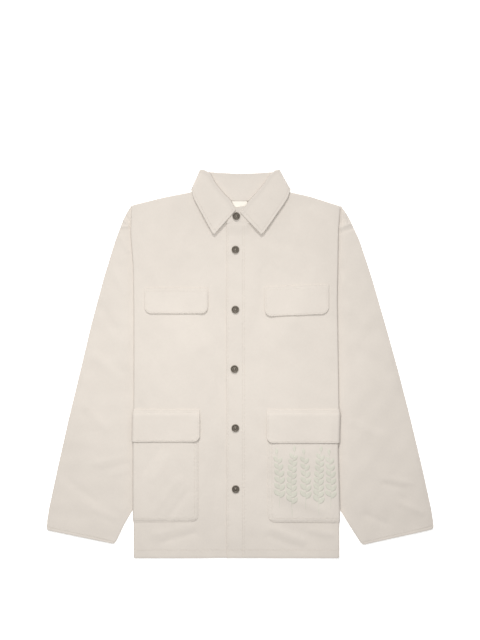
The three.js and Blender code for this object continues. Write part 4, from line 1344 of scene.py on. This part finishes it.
def sprig_piece():
    leaves = leaf_table()
    stems = []
    for sprig in SPRIGS:
        t = np.linspace(0, 1, 9)
        x, y = sprig_stem(sprig, t)
        for k in range(8):
            size = np.hypot(x[k + 1] - x[k], y[k + 1] - y[k]) * 1.25
            heading = np.degrees(np.arctan2(y[k + 1] - y[k], x[k + 1] - x[k]))
            stems.append((x[k], y[k], heading, size, 0.8))
    parts = np.concatenate([leaves, np.array(stems)])
    x, y, arch = dome_grid(parts)
    floor_z = on_pocket(x, y)
    top = np.stack([x, y, floor_z + 0.04 + SPRIG_RISE * arch], -1)
    low = np.stack([x, y, floor_z - 0.12], -1)
    count, along, across = x.shape
    points = np.concatenate([top, low], 1).reshape(count, -1, 3)
    size = along * across
    j, i = (k.ravel() for k in np.meshgrid(np.arange(along - 1), np.arange(across - 1),
                                            indexing="ij"))
    a = j * across + i
    upper = np.stack([a, a + across, a + across + 1, a + 1], 1)
    under = upper[:, ::-1] + size
    rim = border(along, across, False)
    wall = np.stack([rim[:, 0], rim[:, 1], rim[:, 1] + size, rim[:, 0] + size], 1)
    one = np.concatenate([upper, under, wall])
    quads = (np.arange(count)[:, None, None] * 2 * size + one[None]).reshape(-1, 4)
    lengthwise = np.repeat(np.tile(np.linspace(0, 1, along)[:, None], (2, across)).ravel()[None],
                           count, 0)
    piece = new_object("pocket_sprigs", points.reshape(-1, 3), quads, None,
                       {"lengthwise": lengthwise.ravel()})
    shape = bmesh.new()
    shape.from_mesh(piece.data)
    bmesh.ops.remove_doubles(shape, verts=shape.verts, dist=2e-6)
    bmesh.ops.recalc_face_normals(shape, faces=shape.faces)
    shape.to_mesh(piece.data)
    shape.free()
    print("sprigs:", len(leaves), "leaves and", len(stems), "lengths of stem")
    return piece


sprigs = sprig_piece()

# %% [markdown]
# ## Finishes
# A finish is built from effects that several materials share: a twill weave, slow mottling
# from the wash, and the roping beside a line of sewing. Each effect is a node group with named
# inputs and outputs, so every cloth can use it with its own values. The groups read the
# piece's own cut, its UV map, so the weave turns with the cloth.

# %% Helpers for node trees
def group_with(name, inputs, outputs):
    """An empty node group with named float or vector sockets, and its two end nodes."""
    group = bpy.data.node_groups.new(name, "ShaderNodeTree")
    for label, kind, value in inputs:
        socket = group.interface.new_socket(label, in_out="INPUT", socket_type=kind)
        if value is not None:
            socket.default_value = value
    for label, kind in outputs:
        group.interface.new_socket(label, in_out="OUTPUT", socket_type=kind)
    return group, group.nodes.new("NodeGroupInput"), group.nodes.new("NodeGroupOutput")


def math(tree, operation, *values, clamp=False):
    """One Math node; each value is a number or a socket."""
    node = tree.nodes.new("ShaderNodeMath")
    node.operation, node.use_clamp = operation, clamp
    for socket, value in zip(node.inputs, values):
        if isinstance(value, (int, float)):
            socket.default_value = value
        else:
            tree.links.new(value, socket)
    return node.outputs[0]


def noise(tree, vector, scale, detail=2.0, rough=0.5):
    node = tree.nodes.new("ShaderNodeTexNoise")
    tree.links.new(vector, node.inputs["Vector"])
    node.inputs["Scale"].default_value = scale
    node.inputs["Detail"].default_value = detail
    node.inputs["Roughness"].default_value = rough
    return node.outputs["Fac"]


FLOAT, VECTOR = "NodeSocketFloat", "NodeSocketVector"

# %% Twill weave
def twill_group():
    """Ribs at 45 degrees: a sine of u + v. Threads across them: a sine of u - v, weaker. Slubs:
    noise drawn out along the cloth. Height is their sum, Tone the slubs alone."""
    group, given, made = group_with(
        "twill weave",
        [("Cut", VECTOR, None), ("Threads", FLOAT, 620.0), ("Slub", FLOAT, 0.5)],
        [("Height", FLOAT), ("Tone", FLOAT)],
    )
    split = group.nodes.new("ShaderNodeSeparateXYZ")
    group.links.new(given.outputs["Cut"], split.inputs[0])
    turns = math(group, "MULTIPLY", given.outputs["Threads"], 2 * np.pi)
    both = math(group, "ADD", split.outputs["X"], split.outputs["Y"])
    unlike = math(group, "SUBTRACT", split.outputs["X"], split.outputs["Y"])
    rib = math(group, "SINE", math(group, "MULTIPLY", both, turns))
    thread = math(group, "SINE", math(group, "MULTIPLY", unlike, math(group, "MULTIPLY", turns, 2.0)))
    drawn = group.nodes.new("ShaderNodeMapping")
    drawn.inputs["Scale"].default_value = (1.0, 0.12, 1.0)
    group.links.new(given.outputs["Cut"], drawn.inputs["Vector"])
    slub = noise(group, drawn.outputs[0], 1100.0, 2.0, 0.6)
    woven = math(group, "MULTIPLY_ADD", thread, 0.35, rib)
    uneven = math(group, "MULTIPLY", slub, given.outputs["Slub"])
    group.links.new(math(group, "MULTIPLY_ADD", woven, 0.5, uneven), made.inputs["Height"])
    group.links.new(slub, made.inputs["Tone"])
    return group


# %% Wash mottle
def mottle_group():
    """Three sizes of noise over the object, from a hand's width to a fingertip, about zero."""
    group, given, made = group_with(
        "wash mottle", [("Place", VECTOR, None), ("Fine", FLOAT, 0.35)], [("Tone", FLOAT)]
    )
    broad = noise(group, given.outputs["Place"], 7.0, 2.0)
    middle = noise(group, given.outputs["Place"], 34.0, 3.0)
    fine = noise(group, given.outputs["Place"], 180.0, 3.0, 0.6)
    total = math(group, "ADD", broad, math(group, "MULTIPLY", middle, 0.6))
    total = math(group, "ADD", total, math(group, "MULTIPLY", fine, given.outputs["Fine"]))
    level = math(group, "MULTIPLY_ADD", given.outputs["Fine"], 0.5, 0.8)
    group.links.new(math(group, "SUBTRACT", total, level), made.inputs["Tone"])
    return group


# %% Roping beside a seam
def seam_group():
    """With d the distance to the sewing: a groove exp(-(d / 0.9 mm)^2) under the thread, and
    puckers, noise times exp(-(d / 5 mm)^2), that pull the cloth into it."""
    group, given, made = group_with(
        "seam roping",
        [("Distance", FLOAT, 0.03), ("Place", VECTOR, None), ("Pucker", FLOAT, 1.0)],
        [("Height", FLOAT), ("Shade", FLOAT)],
    )

    def bell(width):
        ratio = math(group, "DIVIDE", given.outputs["Distance"], width)
        return math(group, "EXPONENT", math(group, "MULTIPLY", math(group, "POWER", ratio, 2.0), -1.0))

    groove, near = bell(0.0010), bell(0.0052)
    ripple = math(group, "SUBTRACT", noise(group, given.outputs["Place"], 190.0, 1.0), 0.5)
    pull = math(group, "MULTIPLY", math(group, "MULTIPLY", ripple, near), given.outputs["Pucker"])
    group.links.new(math(group, "SUBTRACT", pull, math(group, "MULTIPLY", groove, 0.3)),
                    made.inputs["Height"])
    group.links.new(math(group, "MULTIPLY_ADD", pull, -0.5, groove), made.inputs["Shade"])
    return group


TWILL, MOTTLE, ROPING = twill_group(), mottle_group(), seam_group()
print("node groups:", [g.name for g in (TWILL, MOTTLE, ROPING)])

# %% [markdown]
# ### Canvas
# The cloth is undyed cotton that has been washed: warm and pale, matt, with a faint bloom of
# fibres at grazing angles, which is what Sheen is for. Colour comes from three small effects
# about one base colour, with painted shade along the collar's roll, and the relief from the
# weave and the roping by way of Bump nodes.

# %% Cloth materials
def principled(name):
    material = bpy.data.materials.new(name)
    material.use_nodes = True
    tree = material.node_tree
    return material, tree, tree.nodes["Principled BSDF"]


def placed(tree, group, **inputs):
    """A node group in a material, each input a number or a socket."""
    node = tree.nodes.new("ShaderNodeGroup")
    node.node_tree = group
    for label, value in inputs.items():
        if isinstance(value, (int, float)):
            node.inputs[label].default_value = value
        else:
            tree.links.new(value, node.inputs[label])
    return node


def mark(tree, name):
    node = tree.nodes.new("ShaderNodeAttribute")
    node.attribute_name = name
    return node.outputs["Fac"]


def shaded(tree, base, tone, dark, pale):
    """The base colour, moved towards the pale one where tone is high and the dark one where it
    is low: a mix between dark and pale at 0.5 + tone."""
    mix = tree.nodes.new("ShaderNodeMix")
    mix.data_type = "RGBA"
    factor = math(tree, "ADD", tone, 0.5, clamp=True)
    tree.links.new(factor, mix.inputs["Factor"])
    mix.inputs["A"].default_value = (*(np.array(base) * dark), 1)
    mix.inputs["B"].default_value = (*(np.array(base) * pale), 1)
    return mix.outputs["Result"]


CANVAS = (0.74, 0.68, 0.625)


def cloth_material(name, base, threads=620.0, weave=0.00007, pucker=1.0, rough=0.92, spread=0.07):
    material, tree, shader = principled(name)
    place = tree.nodes.new("ShaderNodeTexCoord").outputs["Object"]
    cut = tree.nodes.new("ShaderNodeUVMap")
    cut.uv_map = "cut"
    twill = placed(tree, TWILL, Cut=cut.outputs["UV"], Threads=threads, Slub=0.6)
    mottle = placed(tree, MOTTLE, Place=place, Fine=0.4)
    roping = placed(tree, ROPING, Distance=mark(tree, "seam"), Place=place, Pucker=pucker)
    tone = math(tree, "MULTIPLY", mottle.outputs["Tone"], 0.9)
    tone = math(tree, "ADD", tone, math(tree, "MULTIPLY_ADD", twill.outputs["Tone"], 0.5, -0.25))
    tone = math(tree, "SUBTRACT", tone, math(tree, "MULTIPLY", roping.outputs["Shade"], 0.13))
    # painted shade: the colour darkened along the collar's roll by the roll mark
    tone = math(tree, "SUBTRACT", tone, math(tree, "MULTIPLY", mark(tree, "roll"), 0.9))
    colour = shaded(tree, base, tone, 1 - spread, 1 + 0.6 * spread)
    tree.links.new(colour, shader.inputs["Base Color"])
    roughness = math(tree, "MULTIPLY_ADD", twill.outputs["Tone"], 0.1, rough - 0.05)
    tree.links.new(roughness, shader.inputs["Roughness"])
    shader.inputs["Specular IOR Level"].default_value = 0.25
    shader.inputs["Sheen Weight"].default_value = 0.12
    shader.inputs["Sheen Roughness"].default_value = 0.6
    fine = tree.nodes.new("ShaderNodeBump")
    fine.inputs["Distance"].default_value = weave
    fine.inputs["Strength"].default_value = 0.8
    tree.links.new(twill.outputs["Height"], fine.inputs["Height"])
    coarse = tree.nodes.new("ShaderNodeBump")
    coarse.inputs["Distance"].default_value = 0.0008
    coarse.inputs["Strength"].default_value = 0.9
    tree.links.new(roping.outputs["Height"], coarse.inputs["Height"])
    tree.links.new(fine.outputs["Normal"], coarse.inputs["Normal"])
    tree.links.new(coarse.outputs["Normal"], shader.inputs["Normal"])
    return material


canvas = cloth_material("washed canvas", CANVAS)
label_cloth = cloth_material("label satin", (0.93, 0.88, 0.81), threads=1400.0, weave=0.00004,
                             pucker=0.4, rough=0.6, spread=0.05)

# %% Thread, embroidery and button metal
def thread_material(name, base, rough=0.7):
    """Twisted yarn: fine diagonal shine from noise in the roughness, and painted shade between the
    plies, as the same noise darkening the colour.
    """
    material, tree, shader = principled(name)
    place = tree.nodes.new("ShaderNodeTexCoord").outputs["Object"]
    ply = noise(tree, place, 2600.0, 2.0)
    mottle = placed(tree, MOTTLE, Place=place, Fine=0.6)
    # painted shade between the plies: the ply noise darkens the colour
    tone = math(tree, "ADD", math(tree, "MULTIPLY_ADD", ply, 0.8, -0.4), mottle.outputs["Tone"])
    tree.links.new(shaded(tree, base, tone, 0.84, 1.08), shader.inputs["Base Color"])
    tree.links.new(math(tree, "MULTIPLY_ADD", ply, 0.2, rough - 0.1), shader.inputs["Roughness"])
    shader.inputs["Specular IOR Level"].default_value = 0.3
    bump = tree.nodes.new("ShaderNodeBump")
    bump.inputs["Distance"].default_value = 0.0001
    tree.links.new(ply, bump.inputs["Height"])
    tree.links.new(bump.outputs["Normal"], shader.inputs["Normal"])
    return material


def metal_material():
    """Bronzed steel: the finish stays dark in the hollows and turns a duller grey brown where the
    profile's "wear_and_highlight" mark is high, broken up by noise: wear on the high parts, and a
    painted highlight at the bottom of the sunk ring."""
    material, tree, shader = principled("bronzed steel")
    place = tree.nodes.new("ShaderNodeTexCoord").outputs["Object"]
    patchy = noise(tree, place, 520.0, 4.0, 0.65)
    mottle = placed(tree, MOTTLE, Place=place, Fine=0.8)
    # wear and painted highlight: lighter metal where the profile's mark is high, broken up by noise
    wear_and_highlight_mix = math(tree, "MULTIPLY", mark(tree, "wear_and_highlight"), math(tree, "MULTIPLY_ADD", patchy, 0.9, 0.45))
    wear_and_highlight_mix = math(tree, "ADD", wear_and_highlight_mix, math(tree, "MULTIPLY", mottle.outputs["Tone"], 0.15), clamp=True)
    mix = tree.nodes.new("ShaderNodeMix")
    mix.data_type = "RGBA"
    tree.links.new(wear_and_highlight_mix, mix.inputs["Factor"])
    mix.inputs["A"].default_value = (0.06, 0.049, 0.038, 1)
    mix.inputs["B"].default_value = (0.21, 0.18, 0.148, 1)
    tree.links.new(mix.outputs["Result"], shader.inputs["Base Color"])
    shader.inputs["Metallic"].default_value = 0.4
    tree.links.new(math(tree, "MULTIPLY_ADD", patchy, 0.25, 0.3), shader.inputs["Roughness"])
    bump = tree.nodes.new("ShaderNodeBump")
    bump.inputs["Distance"].default_value = 0.00012
    bump.inputs["Strength"].default_value = 0.5
    tree.links.new(patchy, bump.inputs["Height"])
    tree.links.new(bump.outputs["Normal"], shader.inputs["Normal"])
    return material


sewing_thread = thread_material("sewing thread", (0.73, 0.667, 0.6))
sage_thread = thread_material("sage embroidery", (0.70, 0.683, 0.60), 0.8)
button_metal = metal_material()

# %% [markdown]
# ## Ride and replace
# Every shell stands for its solid, rides on the object's one body and hides that solid; the
# share of its cut that shows is printed. The thread rides as well.

# %% Put the finishes on and hide the solids
def dress(piece, material, slot, *nodes):
    piece.data.materials.append(material)
    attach(piece, "root")
    if nodes:
        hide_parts(*nodes)
    return piece


CUTS = {
    "back": (0.596, 0.759, "laid", []),
    "front_right": (0.312, 0.759, "folded", ["jacket_back"]),
    "front_left": (0.318, 0.759, "folded", ["jacket_back"]),
    "sleeve_right": (0.36, 0.715, "folded", []),
    "sleeve_left": (0.36, 0.715, "folded", []),
    "collar_stand": (0.42, 0.06, "folded", ["jacket_back"]),
    "collar_leaf": (0.52, 0.08, "folded", ["jacket_collar_stand"]),
    "neck_label": (0.033, 0.024, "laid", ["jacket_back"]),
    "chest_flap_right": (0.13, 0.054, "laid", ["jacket_front_right"]),
    "chest_flap_left": (0.131, 0.061, "laid", ["jacket_front_left"]),
    "pocket_right": (0.14, 0.22, "laid", ["jacket_front_right"]),
    "pocket_left": (0.152, 0.221, "laid", ["jacket_front_left"]),
    "pocket_flap_right": (0.14, 0.068, "laid", ["jacket_pocket_right"]),
    "pocket_flap_left": (0.153, 0.07, "laid", ["jacket_pocket_left"]),
}
THREAD_OF = {
    "front_right": ["front_right"], "front_left": ["front_left"], "collar_leaf": ["collar"],
    "sleeve_right": ["cuff_right"], "sleeve_left": ["cuff_left"],
    "chest_flap_right": ["chest_flap_right"], "chest_flap_left": ["chest_flap_left"],
    "pocket_right": ["pocket_right"], "pocket_left": ["pocket_left"],
    "pocket_flap_right": ["pocket_flap_right"], "pocket_flap_left": ["pocket_flap_left"],
}
for piece in threads.values():
    dress(piece, sewing_thread, "canvas")
dress(sprigs, sage_thread, "canvas")
for number, piece in enumerate(buttons, 1):
    dress(piece, button_metal, "button_metal", f"button_{number}")
for node, (wide, long, held, below) in CUTS.items():
    sheet = bpy.data.objects["jacket_" + node]
    is_label = node == "neck_label"
    dress(sheet, label_cloth if is_label else canvas, "label" if is_label else "canvas", node)
    on_it = [threads[key] for key in THREAD_OF.get(node, [])]
    if node == "pocket_left":
        on_it.append(sprigs)
    print(f"{node}: cut {wide} x {long} m, {sheet['cloth_area'] / (wide * long):.2f} of it shows")

# %% [markdown]
# ## Table, light and camera
# The photograph is a catalogue picture taken from straight above on white. The table is
# white and evenly lit, so it comes out white. A wide soft light at the upper left gives the
# cloth its slow shading and the flaps their thin shadows; the rest is fill from all round.

# %% Stage, lights and camera
def area_light(name, place, aim, size, watts, colour):
    lamp = bpy.data.lights.new(name, "AREA")
    lamp.shape, lamp.size, lamp.energy, lamp.color = "DISK", size, watts, colour
    holder = bpy.data.objects.new(name, lamp)
    holder.location = place
    toward = np.array(aim, float) - np.array(place, float)
    holder.rotation_euler = mathutils.Vector(toward).to_track_quat("-Z", "Y").to_euler()
    bpy.context.scene.collection.objects.link(holder)
    return holder


import mathutils

area_light("key", (-0.8, 8.7, 8.2), (0, 0.05, 0), 2.6, 680, (1.0, 0.99, 0.965))
area_light("overhead", (-0.12, 0.06, 0.95), (-0.12, 0.06, 0), 0.7, 5.2, (1.0, 1.0, 0.97))

world = bpy.data.worlds.new("studio")
bpy.context.scene.world = world
world.use_nodes = True
world.node_tree.nodes["Background"].inputs["Color"].default_value = (1.0, 1.0, 1.0, 1)
world.node_tree.nodes["Background"].inputs["Strength"].default_value = 0.3

table_mesh = bpy.data.meshes.new("table")
table_mesh.from_pydata([(-6, -6, 0), (6, -6, 0), (6, 6, 0), (-6, 6, 0)], [], [(0, 1, 2, 3)])
table = bpy.data.objects.new("table", table_mesh)
table.location.z = cad_low[2] - 0.0002
bpy.context.scene.collection.objects.link(table)
table_material, _, table_shader = principled("white table")
table_shader.inputs["Base Color"].default_value = (0.93, 0.93, 0.93, 1)
table_shader.inputs["Roughness"].default_value = 0.9
table_shader.inputs["Specular IOR Level"].default_value = 0.1
table_shader.inputs["Emission Color"].default_value = (1, 1, 1, 1)
table_shader.inputs["Emission Strength"].default_value = 0.5
table_mesh.materials.append(table_material)

IMAGE_HIGH, LENS, SENSOR = 1.3248, 85.0, 36.0
camera_data = bpy.data.cameras.new("camera")
camera_data.lens, camera_data.sensor_width = LENS, SENSOR
camera = bpy.data.objects.new("camera", camera_data)
camera.location = (-0.0002, 0.0921, 0.005 + IMAGE_HIGH * LENS / SENSOR)
bpy.context.scene.collection.objects.link(camera)
bpy.context.scene.camera = camera
bpy.context.scene.view_settings.view_transform = "Standard"
